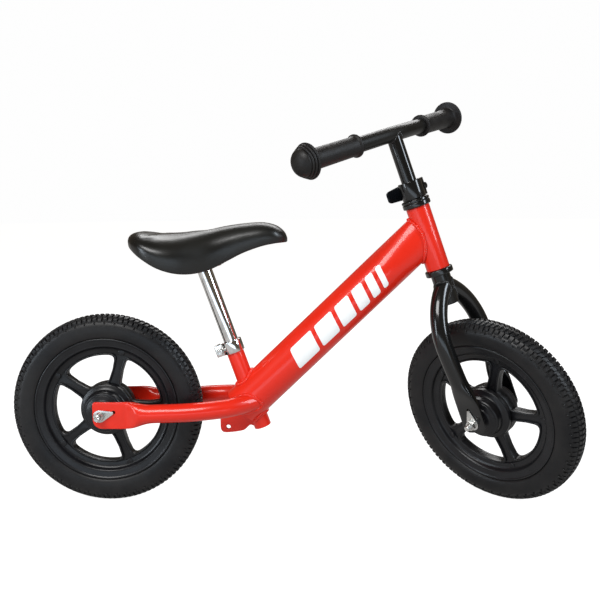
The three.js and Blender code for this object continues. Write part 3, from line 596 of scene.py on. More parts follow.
def foam():
    """Moulded foam tyre: dense satin skin with pores and faint scuffs."""
    base = (0.008, 0.008, 0.009)
    material, tree, shader = finish("tyre_foam", base, 0.44, Specular_IOR_Level=0.3)
    cloud = pattern(tree, "TexNoise", 22, Detail=6, Roughness=0.6)
    pores = pattern(tree, "TexNoise", 1300, Detail=3)
    cells = pattern(tree, "TexVoronoi", 900)
    dark, dusty = (0.005, 0.005, 0.006), (0.013, 0.012, 0.012)
    tree.links.new(tint(tree, cloud.outputs[0], dark, dusty), shader.inputs["Base Color"])
    tree.links.new(spread(tree, cloud.outputs[0], 0.36, 0.50), shader.inputs["Roughness"])
    bumped(tree, shader, (pores.outputs[0], 0.22, 0.0004), (cells.outputs[0], 0.08, 0.0003))
    return material


def moulded(name, color, roughness, grain=0.25):
    """Injection-moulded plastic with a fine spark-eroded grain."""
    material, tree, shader = finish(name, color, roughness, Specular_IOR_Level=0.35)
    cloud = pattern(tree, "TexNoise", 30, Detail=4)
    surface = pattern(tree, "TexNoise", 1700, Detail=4, Roughness=0.7)
    lighter = tuple(c * 1.7 + 0.001 for c in color)
    tree.links.new(tint(tree, cloud.outputs[0], color, lighter), shader.inputs["Base Color"])
    gloss = spread(tree, surface.outputs[0], roughness * 0.85, roughness * 1.2)
    tree.links.new(gloss, shader.inputs["Roughness"])
    bumped(tree, shader, (surface.outputs[0], grain, 0.0002))
    return material


def grip_rubber():
    """Soft rubber with a dry bloom on it."""
    base = (0.007, 0.006, 0.005)
    material, tree, shader = finish("grip_rubber", base, 0.44, Specular_IOR_Level=0.35)
    cloud = pattern(tree, "TexNoise", 60, Detail=5, Roughness=0.65)
    surface = pattern(tree, "TexNoise", 2100, Detail=3)
    dark, bloom = (0.005, 0.004, 0.004), (0.013, 0.010, 0.008)
    tree.links.new(tint(tree, cloud.outputs[0], dark, bloom, 0.4, 0.8), shader.inputs["Base Color"])
    tree.links.new(spread(tree, cloud.outputs[0], 0.42, 0.62), shader.inputs["Roughness"])
    bumped(tree, shader, (surface.outputs[0], 0.25, 0.0002))
    return material


def vinyl():
    """Glossy saddle cover with a shallow leather-like grain."""
    base = (0.005, 0.005, 0.005)
    material, tree, shader = finish("saddle_vinyl", base, 0.28, Specular_IOR_Level=0.5)
    cloud = pattern(tree, "TexNoise", 14, Detail=3)
    grain = pattern(tree, "TexVoronoi", 620, feature="DISTANCE_TO_EDGE")
    creases = pattern(tree, "TexNoise", 260, Detail=5, Roughness=0.6)
    dark, worn = (0.003, 0.003, 0.003), (0.008, 0.008, 0.007)
    tree.links.new(tint(tree, cloud.outputs[0], dark, worn), shader.inputs["Base Color"])
    tree.links.new(spread(tree, cloud.outputs[0], 0.24, 0.36), shader.inputs["Roughness"])
    edge = spread(tree, grain.outputs[0], 0, 1, 0, 0.12)
    bumped(tree, shader, (edge, 0.10, 0.0002), (creases.outputs[0], 0.14, 0.0006))
    return material


def metal(name, color, roughness, streak=(1, 1, 1)):
    """Plated steel: bright metal with fine streaks and a slight tarnish."""
    material, tree, shader = finish(name, color, roughness, Metallic=1)
    cloud = pattern(tree, "TexNoise", 90, Detail=5)
    lines = pattern(tree, "TexNoise", 900, streak, Detail=3)
    dull = tuple(c * 0.72 for c in color)
    tree.links.new(tint(tree, cloud.outputs[0], dull, color, 0.3, 0.55), shader.inputs["Base Color"])
    gloss = spread(tree, lines.outputs[0], roughness * 0.7, roughness * 1.5)
    tree.links.new(gloss, shader.inputs["Roughness"])
    bumped(tree, shader, (lines.outputs[0], 0.06, 0.0001))
    return material


def vinyl_white():
    """White cut-vinyl striping on the main tube."""
    material, tree, shader = finish("white_striping", (0.85, 0.85, 0.84), 0.3, Coat_Weight=0.4)
    cloud = pattern(tree, "TexNoise", 35, Detail=4)
    clean, grubby = (0.97, 0.97, 0.96), (0.90, 0.89, 0.87)
    tree.links.new(tint(tree, cloud.outputs[0], grubby, clean, 0.2, 0.5), shader.inputs["Base Color"])
    peel = pattern(tree, "TexNoise", 500, Detail=2)
    bumped(tree, shader, (peel.outputs[0], 0.06, 0.0002))
    return material


RED = enamel("red_enamel", (0.80, 0.024, 0.008), (0.72, 0.018, 0.006), 0.3, 0.4)
BLACK = enamel("black_enamel", (0.006, 0.006, 0.006), (0.004, 0.004, 0.004), 0.2, 0.6)
BAR_BLACK = enamel("bar_satin_black", (0.008, 0.007, 0.006), (0.005, 0.005, 0.004), 0.38, 0.1)
FOAM = foam()
MOULDING = moulded("wheel_nylon", (0.005, 0.005, 0.006), 0.3)
LEVER = moulded("lever_nylon", (0.005, 0.006, 0.008), 0.2, 0.12)
BASE = moulded("saddle_base_plastic", (0.005, 0.005, 0.005), 0.45)
RUBBER = grip_rubber()
VINYL = vinyl()
CHROME = metal("chrome_plate", (0.80, 0.79, 0.78), 0.07, (1, 1, 0.05))
ZINC = metal("zinc_plate", (0.72, 0.72, 0.70), 0.24)
STEEL = metal("bearing_steel", (0.5, 0.5, 0.5), 0.3)
WHITE = vinyl_white()
FINISH_OF_SLOT = {
    "red_paint": RED, "black_paint": BLACK, "chrome": CHROME, "zinc": ZINC, "foam": FOAM,
    "moulding": MOULDING, "rubber": RUBBER, "vinyl": VINYL, "seat_base": BASE,
}


def keep(piece, material, body, slot, *nodes):
    """Gives a finished piece its material and its place in the model."""
    piece.data.materials.clear()
    piece.data.materials.append(material)
    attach(piece, body)
    if nodes:
        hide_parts(*nodes)
    return piece


# ---- wheels ----
TYRE_RADIUS = 145
TREAD_DEPTH = 2.3
PIP_RADIUS = 134.4
PITCHES = 56
WINDOW_RADIUS = 83
HUB_EDGE = 40.5
SPOKES = 5
SPOKE_HALF = 7.6
RIB = 2.6


def crown(z):
    """Radius of the tread's outer surface at a distance from the middle plane."""
    return TYRE_RADIUS - 0.0068 * max(0, abs(z) - 3) ** 2.6


def tyre_body(name):
    side = [
        (142.7, 0), (142.4, 5), (141.0, 9.5), (138.8, 13), (136.2, 16.2), (133.4, 18.3),
        (130.2, 19.5), (126, 20), (120.5, 19.9), (115.5, 19.1), (112.2, 17.9), (110.6, 16.6),
    ]
    path = path_points([(r, z, 0) for r, z in side], 4)
    half = [(p.x, p.y) for p in path]
    half += [(110.3, 15.4), (110.3, 12.6), (106.2, 12.4)]
    other = [(r, -z) for r, z in half[1:]][::-1]
    return turned(name, other + half, None, 168)


def tread_block(corners, foot):
    """A raised block of the tread from (along, across) corners, with drafted sides."""
    centre = Vector((sum(c[0] for c in corners), sum(c[1] for c in corners))) / len(corners)
    rings = []
    for grow, drop in ((0.9, foot), (0.35, 0.5), (-0.1, 0)):
        ring = []
        for along, across in corners:
            out = Vector((along, across)) - centre
            spot = centre + out * (1 + grow / max(out.length, 1))
            radius = crown(spot.y) - drop
            angle = spot.x / TYRE_RADIUS
            ring.append((radius * math.cos(angle), radius * math.sin(angle), spot.y))
        rings.append(ring)
    return rings


def shoulder_pip(along, hand):
    """A small moulded pip below the tread's shoulder."""
    angle = along / TYRE_RADIUS
    way = Vector((math.cos(angle), math.sin(angle), 0))
    side = Vector((-way.y, way.x, 0))
    rings = []
    for grow, z in ((1.25, 17.8), (1.0, 19.6), (0.6, 19.95)):
        centre = way * PIP_RADIUS + Vector((0, 0, hand * z))
        rings.append(oval(centre, side, way, 0.95 * grow, 1.7 * grow, 3, 8))
    return rings


def tread_pitch(name):
    """One pitch of the tread: zigzag middle blocks, slanted blocks, and shoulder lugs."""
    pitch = TURN * TYRE_RADIUS / PITCHES
    half = pitch / 2
    blocks = []
    for start in (0, half):
        zigzag = [(0.6, 0), (2.4, 3.5), (6.2, 3.5), (4.9, 0), (6.2, -3.5), (2.4, -3.5)]
        blocks.append([(start + a, z) for a, z in zigzag])
        for hand in (1, -1):
            shift = 1.6 if hand > 0 else 3.4
            slant = [(0.4, 5.2), (4.6, 5.2), (6.6, 10.2), (2.2, 10.2)]
            blocks.append([(start + shift + a, hand * z) for a, z in slant])
    for hand in (1, -1):
        offset = 0 if hand > 0 else half * 0.5
        long_lug = [(0.7, 11.9), (6.6, 11.9), (6.2, 17.0), (1.1, 17.0)]
        short_lug = [(half + a, min(z, 15.4)) for a, z in long_lug]
        for lug in (long_lug, short_lug):
            blocks.append([(offset + a, hand * z) for a, z in lug])
    shapes = [tread_block(block, TREAD_DEPTH + 0.8) for block in blocks]
    shapes.append(shoulder_pip(half * 1.5, 1))
    shapes.append(shoulder_pip(half * 2, -1))
    points, faces = [], []
    for rings in shapes:
        base = len(points)
        points += [p for ring in rings for p in ring]
        faces += [tuple(base + k for k in f) for f in skin_faces(3, len(rings[0]))]
    return mesh_object(name, points, faces)


def window(start, grow=0.0):
    """The opening between two spokes, drawn in the wheel's plane; grow makes it larger."""
    step = TURN / SPOKES
    inner, outer = HUB_EDGE - grow, WINDOW_RADIUS + grow
    half = SPOKE_HALF - grow

    def edge(radius, flare=0.0):
        return math.asin((half + flare) / radius)

    def at(radius, angle):
        return (radius * math.cos(angle), radius * math.sin(angle))

    sides = []
    for hand in (1, -1):
        root = start if hand > 0 else start + step
        run = [(outer, 9.6), (outer - 0.8, 5.2), (outer - 3.2, 2.2), (outer - 7, 0.7)]
        run += [(62, -0.2), (inner + 5, 1.0), (inner + 1.4, 1.9), (inner + 0.2, 3.8)]
        sides.append([at(r, root + hand * edge(r, f)) for r, f in run])
    first, last = edge(outer, 9.6) + start, start + step - edge(outer, 9.6)
    rim_arc = [at(outer, mix(first, last, k / 14)) for k in range(1, 14)]
    low = inner + 0.1
    first, last = start + step - edge(low, 3.8), start + edge(low, 3.8)
    hub_arc = [at(low, mix(first, last, k / 8)) for k in range(1, 8)]
    return sides[0][::-1] + rim_arc + sides[1] + hub_arc


def wheel_body(name, start):
    rim = [
        (106.4, 12.2), (109.9, 12.4), (109.9, 16.4, 0.8), (107.9, 17, 0.8), (106.2, 15.6, 0.5),
        (105.3, 15.5, 0.5), (99.2, 13.9), (97.6, 13.9, 0.8), (96.2, 12.4, 0.6), (94.4, 8.8, 1),
        (91.5, 7.2, 1), (86, 6.4),
    ]
    ring = rounded(rim + [(r, -z, *c) for r, z, *c in rim[::-1]], 0.5, 3)
    hub = [
        (30, 7.5), (HUB_EDGE - 0.6, 7.5, 1), (HUB_EDGE - 1.2, 14.5, 1.4), (34, 16.4, 2),
        (31, 18.5, 1.2), (30.4, 28.5, 1), (28.6, 30.6, 0.8), (26.5, 30.6, 0.4),
        (26, 31.6, 0.4), (19.5, 33.6, 1), (18.6, 35, 0.8), (13.2, 36, 0.8), (11.3, 36, 0.3),
        (11.3, 28.6), (9, 28.6),
    ]
    core = rounded(hub + [(r, -z, *c) for r, z, *c in hub[::-1]], 0.5, 3)
    web_holes = [window(start + TURN * k / SPOKES) for k in range(SPOKES)]
    web = plate("web", circle(93, 120), -4.6, 4.6, 0.8, None, [circle(26, 60), *web_holes])
    rib = plate("rib", window(start, RIB), -7.6, 7.6, 1.0, None, [window(start)])
    ribs = with_nodes(rib, ROUND_TREE, MOULDING, Count=SPOKES)
    spoke_boss = plate("boss", circle(5.2, 20, 90.5), -8.2, 8.2, 1.0)
    bosses = with_nodes(spoke_boss, ROUND_TREE, MOULDING, Count=SPOKES, Start=start)
    parts = [turned("rim", ring, None, 144), turned("hub", core, None, 96), web, ribs, bosses]
    return joined(name, *parts)


def add_wheel(side, start, where):
    body = f"{side}_wheel_set"
    tread = with_nodes(tread_pitch("tread"), ROUND_TREE, FOAM, Count=PITCHES)
    tyre = placed(joined(f"{side}_foam_tyre", tyre_body("carcass"), tread), where)
    soften(tyre, 40)
    keep(tyre, FOAM, body, "foam", f"{side}_tyre")
    wheel = placed(wheel_body(f"{side}_spoked_wheel", start), where)
    soften(wheel)
    keep(wheel, MOULDING, body, "moulding", f"{side}_wheel")


# ---- nuts and axles ----
def hex_nut(name, across, bore, low, high, where=None):
    half = across / 2

    def ring(radius_limit, z, bore_radius=None):
        points = []
        for k in range(48):
            angle = TURN * k / 48
            local = (angle + math.pi / 6) % (math.pi / 3) - math.pi / 6
            radius = bore_radius or min(half / math.cos(local), radius_limit)
            points.append((radius * math.cos(angle), radius * math.sin(angle), z))
        return points

    rings = [
        ring(half * 1.01, low), ring(half * 1.2, low + 0.9), ring(half * 1.2, high - 0.9),
        ring(half * 1.01, high), ring(0, high, bore + 0.6), ring(0, high - 0.6, bore),
        ring(0, low + 0.6, bore), ring(0, low, bore + 0.6),
    ]
    return skin(name, rings, where, False, True, 28)


def threaded(name, radius, low, high, where=None, pitch=1.25):
    """A threaded length with a bevelled end."""
    profile = [(0, low), (radius, low)]
    z = low + pitch
    while z < high - pitch:
        profile += [(radius, z), (radius - 0.55, z + pitch * 0.35), (radius, z + pitch * 0.7)]
        z += pitch
    profile += [(radius, high - 1), (radius - 0.9, high), (radius - 1.6, high), (0, high - 0.5)]
    return turned(name, profile, where, 40, False, 24)


WASHER_LOW, WASHER_HIGH = 49.3, 50.9
NUT_LOW, NUT_HIGH = 51.2, 57.8
AXLE_END = 66.5
TAB = 20.5


def safety_washer(name, tip_angle, where):
    """Teardrop washer whose bent tip sits in the small hole of the dropout."""
    body, tip = 9.3, TAB + 0.8
    lean = math.acos(body / (tip + 3))
    arc = [mix(lean, TURN - lean, k / 40) for k in range(41)]
    outline = [(tip, -1.7), (tip, 1.7)] + [(body * math.cos(a), body * math.sin(a)) for a in arc]
    flat = plate("washer", outline, WASHER_LOW, WASHER_HIGH, 0.25, None, [circle(4.3)])
    tab = plate("tab", [(tip - 1.6, -1.4), (tip, -1.4), (tip, 1.4), (tip - 1.6, 1.4)], 46.4, 50.6, 0.3)
    washer = joined(name, flat, tab)
    return placed(placed(washer, Matrix.Rotation(tip_angle, 4, "Z")), where)


def flipped(where):
    return where @ Matrix.Rotation(math.pi, 4, "X")


def add_axle_ends(side, body, where, tip_angle):
    hands = (("right", where, tip_angle), ("left", flipped(where), -tip_angle))
    shafts = []
    for hand, ends, angle in hands:
        nut = hex_nut(f"{side}_nut_{hand}", 13, 4.05, NUT_LOW, NUT_HIGH, ends)
        keep(nut, ZINC, body, "zinc", f"{side}_axle_nut_{hand}")
        washer = safety_washer(f"{side}_tab_washer_{hand}", angle, ends)
        soften(washer)
        keep(washer, ZINC, body, "zinc", f"{side}_safety_washer_{hand}")
        cone = rounded([(4.3, 36.2), (6.3, 36.2), (9.5, 38.2, 0.8), (9.5, 44.7, 0.5), (4.3, 44.7)], 0.3)
        piece = turned(f"{side}_cone_{hand}", cone, ends, 40)
        keep(piece, ZINC, body, "zinc", f"{side}_cone_nut_{hand}")
        shafts.append(threaded("shaft", 4, 0, AXLE_END, ends))
    shaft = joined(f"{side}_threaded_axle", *shafts)
    soften(shaft, 24)
    keep(shaft, ZINC, body, "zinc", f"{side}_axle")


# ---- frame ----
MAIN_RADIUS = 30.3
MAIN_LENGTH = 382
MAIN_END = Vector((205.8, 0, 146.4))
MAIN_ANGLE = math.radians(43.8)
MAIN_WAY = Vector((math.cos(MAIN_ANGLE), 0, math.sin(MAIN_ANGLE)))
MAIN_RISE = Vector((-MAIN_WAY.z, 0, MAIN_WAY.x))
HEAD_RADIUS = 17.3
HEAD_LOW, HEAD_HIGH = 229.3, 325.4
SEAT_RADIUS = 13
STAY_RADIUS = 13.6
STAY_OUT = 50
STAY_HALF_FLAT = 20.2  # half the height of a stay where it is squeezed flat
DROPOUT_OUT = 47
DROPOUT_HALF = 2  # half its thickness
DROPOUT_LEVEL = 145.6
TAB_ANGLE = math.radians(15)  # of the rear washers' tips, above level
SEAT_FOOT = SEAT_IN_BIKE @ Vector((0, 0, 0))
SEAT_LINE = (SEAT_IN_BIKE.to_3x3() @ Vector((0, 0, 1))).normalized()
HEAD_FOOT = HEAD_IN_BIKE @ Vector((0, 0, 0))
HEAD_LINE = (HEAD_IN_BIKE.to_3x3() @ Vector((0, 0, 1))).normalized()


def main_half_width(distance):
    """The tube is drawn in at the sides to meet the narrower head tube."""
    share = smooth((distance - MAIN_LENGTH + 95) / 95)
    return mix(MAIN_RADIUS, HEAD_RADIUS - 0.6, share)


def main_point(distance, angle, proud=0.0):
    out = LEFT * (main_half_width(distance) + proud) * math.cos(angle)
    return MAIN_END + MAIN_WAY * distance + out + MAIN_RISE * (MAIN_RADIUS + proud) * math.sin(angle)


def main_rings(steps, inset=0.0, count=72):
    stops = [mix(inset, MAIN_LENGTH, i / steps) for i in range(steps + 1)]
    return [[main_point(d, TURN * j / count, -inset) for j in range(count)] for d in stops]


def main_distance(p):
    return (p - MAIN_END).dot(MAIN_WAY)


def trimmed(rings):
    """The rings with every line along them ended at the head tube."""
    ends = crossing(rings, within(HEAD_FOOT, HEAD_LINE, HEAD_RADIUS - 0.3))
    return [
        [p if main_distance(p) < main_distance(end) - 1 else end for p, end in zip(ring, ends)]
        for ring in rings
    ]


def main_room():
    """Takes off what would stand inside the main tube."""
    return rod("main_room", MAIN_RADIUS - 1.0, MAIN_END - MAIN_WAY * 0.5, MAIN_WAY, 200)


def seat_room(inset):
    """Takes off what would stand inside the seat tube."""
    return rod("seat_room", SEAT_RADIUS - inset, SEAT_FOOT - SEAT_LINE * 40, SEAT_LINE, 260)


def dropout_rooms(start, tab_way):
    """The holes for the axle and for the tip of the safety washer."""
    return (
        rod("axle_room", 4.5, start, LEFT, 160, 28),
        rod("tab_room", 2.8, start + tab_way * (TAB + 1), LEFT, 160, 20),
    )


def main_tube():
    rings = trimmed(main_rings(180)) + trimmed(main_rings(180, 2.0))[::-1]
    tube = carved(skin("main_tube_shell", rings), seat_room(0.5))
    keep(placed(tube, BIKE), RED, "frame", "red_paint", "main_tube")
    loop = crossing(main_rings(120), within(HEAD_FOOT, HEAD_LINE, HEAD_RADIUS + 1.4))
    keep(welded("head_weld", loop, RED, BIKE, 2.6), RED, "frame", "red_paint")


def inside_main(p):
    along = (p - MAIN_END).dot(MAIN_WAY)
    across = p - MAIN_END - MAIN_WAY * along
    return along > 0 and across.length < MAIN_RADIUS


def seat_tube():
    profile = rounded([
        (11.4, 0), (SEAT_RADIUS, 0, 0.8), (SEAT_RADIUS, SEAT_TUBE_LENGTH, 0.6),
        (11.4, SEAT_TUBE_LENGTH),
    ], 0.3)
    tube = turned("seat_tube_shell", profile, SEAT, 64)
    keep(tube, RED, "frame", "red_paint", "seat_tube")
    for name, low, high in (("upper", 140, 40), ("lower", 0, 40)):
        reach = SEAT_RADIUS + 1.6
        stops = [SEAT_FOOT + SEAT_LINE * mix(low, high, i / 60) for i in range(61)]
        rings = [oval(p, LEFT, SEAT_LINE.cross(LEFT), reach, reach, 2, 56) for p in stops]
        loop = crossing(rings, inside_main)
        keep(welded(f"seat_weld_{name}", loop, RED, BIKE, 3.0), RED, "frame", "red_paint")


def head_tube():
    profile = rounded([
        (16.1, HEAD_LOW), (HEAD_RADIUS, HEAD_LOW, 0.6), (HEAD_RADIUS, HEAD_HIGH, 0.6),
        (16.1, HEAD_HIGH),
    ], 0.3)
    keep(turned("head_tube_shell", profile, HEAD, 72), RED, "frame", "red_paint", "head_tube")


def flattened(points):
    """A tube squeezed flat at its rear end; the end's lower corner is well rounded."""
    rings = []
    travel = 0
    for i, (centre, along) in enumerate(zip(points, ways(points))):
        if i:
            travel += (centre - points[i - 1]).length
        side = (LEFT - along * LEFT.dot(along)).normalized()
        rise = side.cross(along).normalized()
        share = smooth((centre.x - 37) / 42)
        fullness = smooth((centre.x - 36) / 27)
        tall = mix(STAY_HALF_FLAT, STAY_RADIUS, share)
        top, bottom = (
            tall - bend + math.sqrt(bend ** 2 - max(bend - travel, 0) ** 2) for bend in (4, 13)
        )
        if rise.z < 0:
            top, bottom = bottom, top
        heart = centre + rise * (top - bottom) / 2
        wide = mix(DROPOUT_HALF, STAY_RADIUS, fullness)
        rings.append(oval(heart, side, rise, wide, (top + bottom) / 2, mix(7, 2, fullness)))
    return rings


def stay_path(hand):
    level = DROPOUT_LEVEL
    path = [
        (-10.5, -DROPOUT_OUT, level), (36, -DROPOUT_OUT, level), (78, -STAY_OUT + 0.6, level + 3),
        (125, -STAY_OUT, 150.4), (160, -STAY_OUT + 1.5, 153), (192, -41, 155.5),
        (222, -22, 158.5), (236, -10, 160),
    ]
    points = path_points(path, 10)
    start = [points[0] + (points[1] - points[0]) * k / 8 for k in range(8)]
    points = start + points[1:]
    return [Vector((p.x, p.y * hand, p.z)) for p in points]


def chainstay(label, hand):
    rings = flattened(stay_path(hand))
    tab_way = Vector((math.cos(TAB_ANGLE), 0, math.sin(TAB_ANGLE)))
    holes = dropout_rooms(Vector((0, -80, 145)), tab_way)
    stay = carved(skin(f"stay_{label}", rings), main_room(), seat_room(0.8), *holes)
    keep(placed(stay, BIKE), RED, "frame", "red_paint", f"chainstay_{label}")
    loop = crossing(rings, inside_main)
    keep(welded(f"stay_{label}_weld", loop, RED, BIKE, 2.7), RED, "frame", "red_paint")


def stand_bracket():
    outline = rounded([
        (172, 150), (172, 104.5, 10), (194, 106.2, 4), (208, 108.6, 5), (213, 113, 4),
        (218, 118, 3), (224, 115.5, 1), (232, 150), (200, 160),
    ], 1, 5)
    turn = Matrix.Rotation(math.pi / 2, 4, "X")
    lug = plate("stand_lug", outline, -3, 3, 0.9, turn, [circle(3.4, 28, 184.2, 114)])
    lug = carved(lug, main_room(), seat_room(1.0))
    keep(placed(lug, BIKE), RED, "frame", "red_paint", "stand_bracket")


def stripe_patch(name, start, end, tall, slant, hand):
    """A thin piece of striping that lies on the side of the main tube."""
    columns, rows, corner = 14, 24, 3.2
    points, faces = [], []
    for proud in (0.05, 0.28):
        for i in range(columns + 1):
            for j in range(rows + 1):
                rise = -math.cos(math.pi * j / rows) * tall
                past = max(abs(rise) - (tall - corner), 0)
                inset = corner - math.sqrt(corner ** 2 - past ** 2)
                along = mix(start + inset, end - inset, i / columns) + slant * rise
                angle = rise / MAIN_RADIUS
                points.append(main_point(along, math.pi - angle if hand < 0 else angle, proud))
    size = (columns + 1) * (rows + 1)

    def at(layer, i, j):
        return layer * size + i * (rows + 1) + j

    for layer in (0, 1):
        for i in range(columns):
            for j in range(rows):
                around = ((i, j), (i + 1, j), (i + 1, j + 1), (i, j + 1))
                faces.append(tuple(at(layer, *spot) for spot in around))
    border = [(i, 0) for i in range(columns)] + [(columns, j) for j in range(rows)]
    border += [(i, rows) for i in range(columns, 0, -1)] + [(0, j) for j in range(rows, 0, -1)]
    for (a, b), (c, d) in zip(border, border[1:] + border[:1]):
        faces.append((at(0, a, b), at(0, c, d), at(1, c, d), at(1, a, b)))
    return mesh_object(name, points, faces, BIKE, 50)


def add_striping():
    """Plain slanted bars, with no lettering, on both sides of the main tube."""
    for hand, label in ((-1, "right"), (1, "left")):
        bars = []
        start = 114
        for k, width in enumerate((42, 34, 27, 20, 14, 9)):
            bars.append(stripe_patch(f"bar_{k}", start, start + width, 16.5, 0.3, hand))
            start += width + 7
        striping = joined(f"striping_{label}", *bars)
        soften(striping, 50)
        keep(striping, WHITE, "frame", "red_paint")


def add_frame():
    main_tube()
    head_tube()
    seat_tube()
    chainstay("right", 1)
    chainstay("left", -1)
    stand_bracket()
    add_striping()


# ---- headset and fork ----
CUP = 20.6
STEERER_RADIUS = 14.3
STEERER_LOW, STEERER_HIGH = 174, 363
STEM_RADIUS = 11.1
BLADE_RADIUS = 12.7
BLADE_END = -14
FORK_OFFSET = 7.6


def race_cup(name, face, out, depth, node):
    """A cup pressed on an end of the head tube; out is the way it faces along the axis."""
    corners = [
        (15, 3.3), (15, 0.3), (CUP - 1, 0.3, 0.8), (CUP, 1.4, 0.6), (CUP, depth - 0.6, 0.8),
        (19, depth), (19, 3.3),
    ]
    profile = rounded([(r, face + out * z, *bend) for r, z, *bend in corners], 0.3)
    keep(turned(name, profile, HEAD, 72), BLACK, "frame", "black_paint", node)


def add_headset():
    race_cup("lower_race_cup", HEAD_LOW, -1, 9, "lower_cup")
    race_cup("upper_race_cup", HEAD_HIGH, 1, 7.5, "upper_cup")
    bore = STEERER_RADIUS + 0.3
    low, high = HEAD_HIGH + 7.9, HEAD_HIGH + 12.2
    profile = [(bore, low), (CUP, low, 0.5), (CUP, high - 1, 0.8), (18.6, high, 0.4), (bore, high)]
    nut = turned("top_lock_nut", rounded(profile, 0.3), STEER, 72)
    keep(nut, BLACK, "fork", "black_paint", "headset_lock_nut")


def blade_points(hand):
    arc, bend, spacing = 98, 118, 50.5
    top = math.acos((arc - spacing + 2) / arc)
    points = []
    for i in range(25):
        angle = mix(top, 0, i / 24)
        points.append((spacing - arc + arc * math.cos(angle), bend + arc * math.sin(angle)))
    for i in range(1, 33):
        height = mix(bend, BLADE_END, i / 32)
        points.append((mix(spacing, DROPOUT_OUT, smooth((bend - height) / 90)), height))
    for end in (5.2, 4.4, 3.6, 2.8, 2.0, 1.2, 0.6, 0.2):
        points.append((DROPOUT_OUT, BLADE_END + end))
    points.sort(key=lambda p: p[1])
    return [Vector((mix(FORK_OFFSET, 2, smooth((z - 20) / 190)), -y * hand, z)) for y, z in points]


def fork_blade(label, hand):
    points = blade_points(hand)
    rings = []
    for i, (centre, along) in enumerate(zip(points, ways(points))):
        if centre.z < 0:
            along = Vector((0, 0, 1))
        side = (LEFT - along * LEFT.dot(along)).normalized()
        rise = side.cross(along).normalized()
        share = smooth((centre.z - 22) / 46)
        wide = mix(DROPOUT_HALF, BLADE_RADIUS, share)
        tall = mix(19.25, BLADE_RADIUS, share)
        drop = centre.z - BLADE_END
        if drop < 9:
            tall -= 9 - math.sqrt(max(81 - (9 - drop) ** 2, 0))
        rings.append(oval(centre, side, rise, wide, max(tall, 3), mix(7, 2, share), 48))
    room = rod("steerer_room", STEERER_RADIUS - 1.2, (0, 0, 100), (0, 0, 1), 160)
    holes = dropout_rooms(Vector((FORK_OFFSET, -80, 0)), Vector((0, 0, 1)))
    blade = carved(skin(f"blade_{label}", rings), room, *holes)
    keep(placed(blade, STEER), BLACK, "fork", "black_paint", f"fork_blade_{label}")
    loop = crossing(rings, within((0, 0, 0), (0, 0, 1), STEERER_RADIUS))
    if len(loop) > 8:
        keep(welded(f"blade_{label}_weld", loop, BLACK, STEER, 1.9), BLACK, "fork", "black_paint")


def add_fork():
    tube = rounded([(11.5, STEERER_LOW), (STEERER_RADIUS, STEERER_LOW, 0.8),
                    (STEERER_RADIUS, STEERER_HIGH, 0.6), (11.5, STEERER_HIGH)], 0.3)
    keep(turned("steerer", tube, STEER, 64), BLACK, "fork", "black_paint", "steerer_tube")
    fork_blade("right", 1)
    fork_blade("left", -1)


# ---- clamps ----
def band_outline(bore, wall, reach, half, slot):
    """A split ring with two ears that end at reach, seen along its axis."""
    outer = bore + wall
    meet = math.asin(half / outer)
    gap = math.asin(slot / bore)
    ears = rounded([(bore * math.cos(gap), slot), (reach, slot, 0.4), (reach, half, 1.6),
                    (outer * math.cos(meet) + 2, half, 2.5)], 0.5, 4, False)
    arc = [mix(meet + 0.1, TURN - meet - 0.1, k / 60) for k in range(61)]
    outline = [tuple(p) for p in ears]
    outline += [(outer * math.cos(a), outer * math.sin(a)) for a in arc]
    outline += [(p[0], -p[1]) for p in ears[::-1]]
    hole = [mix(TURN - gap, gap, k / 60) for k in range(1, 60)]
    return outline + [(bore * math.cos(a), bore * math.sin(a)) for a in hole]


def bolt_room(reach, level):
    return rod("bolt_room", 3.3, (reach, -30, level), LEFT, 60, 28)


def across_ears(clamp, reach, level):
    """Axes whose Z runs along the bolt through a clamp's ears."""
    return clamp @ Matrix.Translation((reach, 0, level)) @ Matrix.Rotation(-math.pi / 2, 4, "X")


SEAT_BOLT_REACH, SEAT_BOLT_LEVEL = 21.2, 7.5


def add_seat_clamp():
    clamp = SEAT @ Matrix.Translation((0, 0, SEAT_TUBE_LENGTH - 16.8)) @ Matrix.Rotation(math.pi, 4, "Z")
    band = plate("seat_band", band_outline(SEAT_RADIUS + 0.3, 2.3, 27.2, 7, 2), 0, 18, 0.7)
    band = carved(band, bolt_room(SEAT_BOLT_REACH, SEAT_BOLT_LEVEL))
    keep(placed(band, clamp), CHROME, "frame", "chrome", "seat_clamp_band")
    bolt_axes = across_ears(clamp, SEAT_BOLT_REACH, SEAT_BOLT_LEVEL)
    head = rounded([(5, 7.3), (5, 12.3, 0.9), (2.9, 12.3, 0.3), (2.7, 9.6)], 0.3, 3, False)
    profile = [(0, -14.8), (3, -14.8), (3, 7.3)] + [tuple(p) for p in head] + [(0, 9.4)]
    keep(turned("seat_bolt", profile, bolt_axes, 40, False), ZINC, "frame", "zinc", "seat_clamp_bolt")
    nut = hex_nut("seat_nut", 10, 3.1, -12.3, -7.3, bolt_axes)
    keep(nut, ZINC, "frame", "zinc", "seat_clamp_nut")


BAR_CLAMP = STEER @ Matrix.Translation((0, 0, HEAD_HIGH + 12.6)) @ Matrix.Rotation(math.pi / 2, 4, "Z")
BAR_CLAMP_HEIGHT = 26
BOLT_REACH, PIVOT_OUT = 21.5, 12


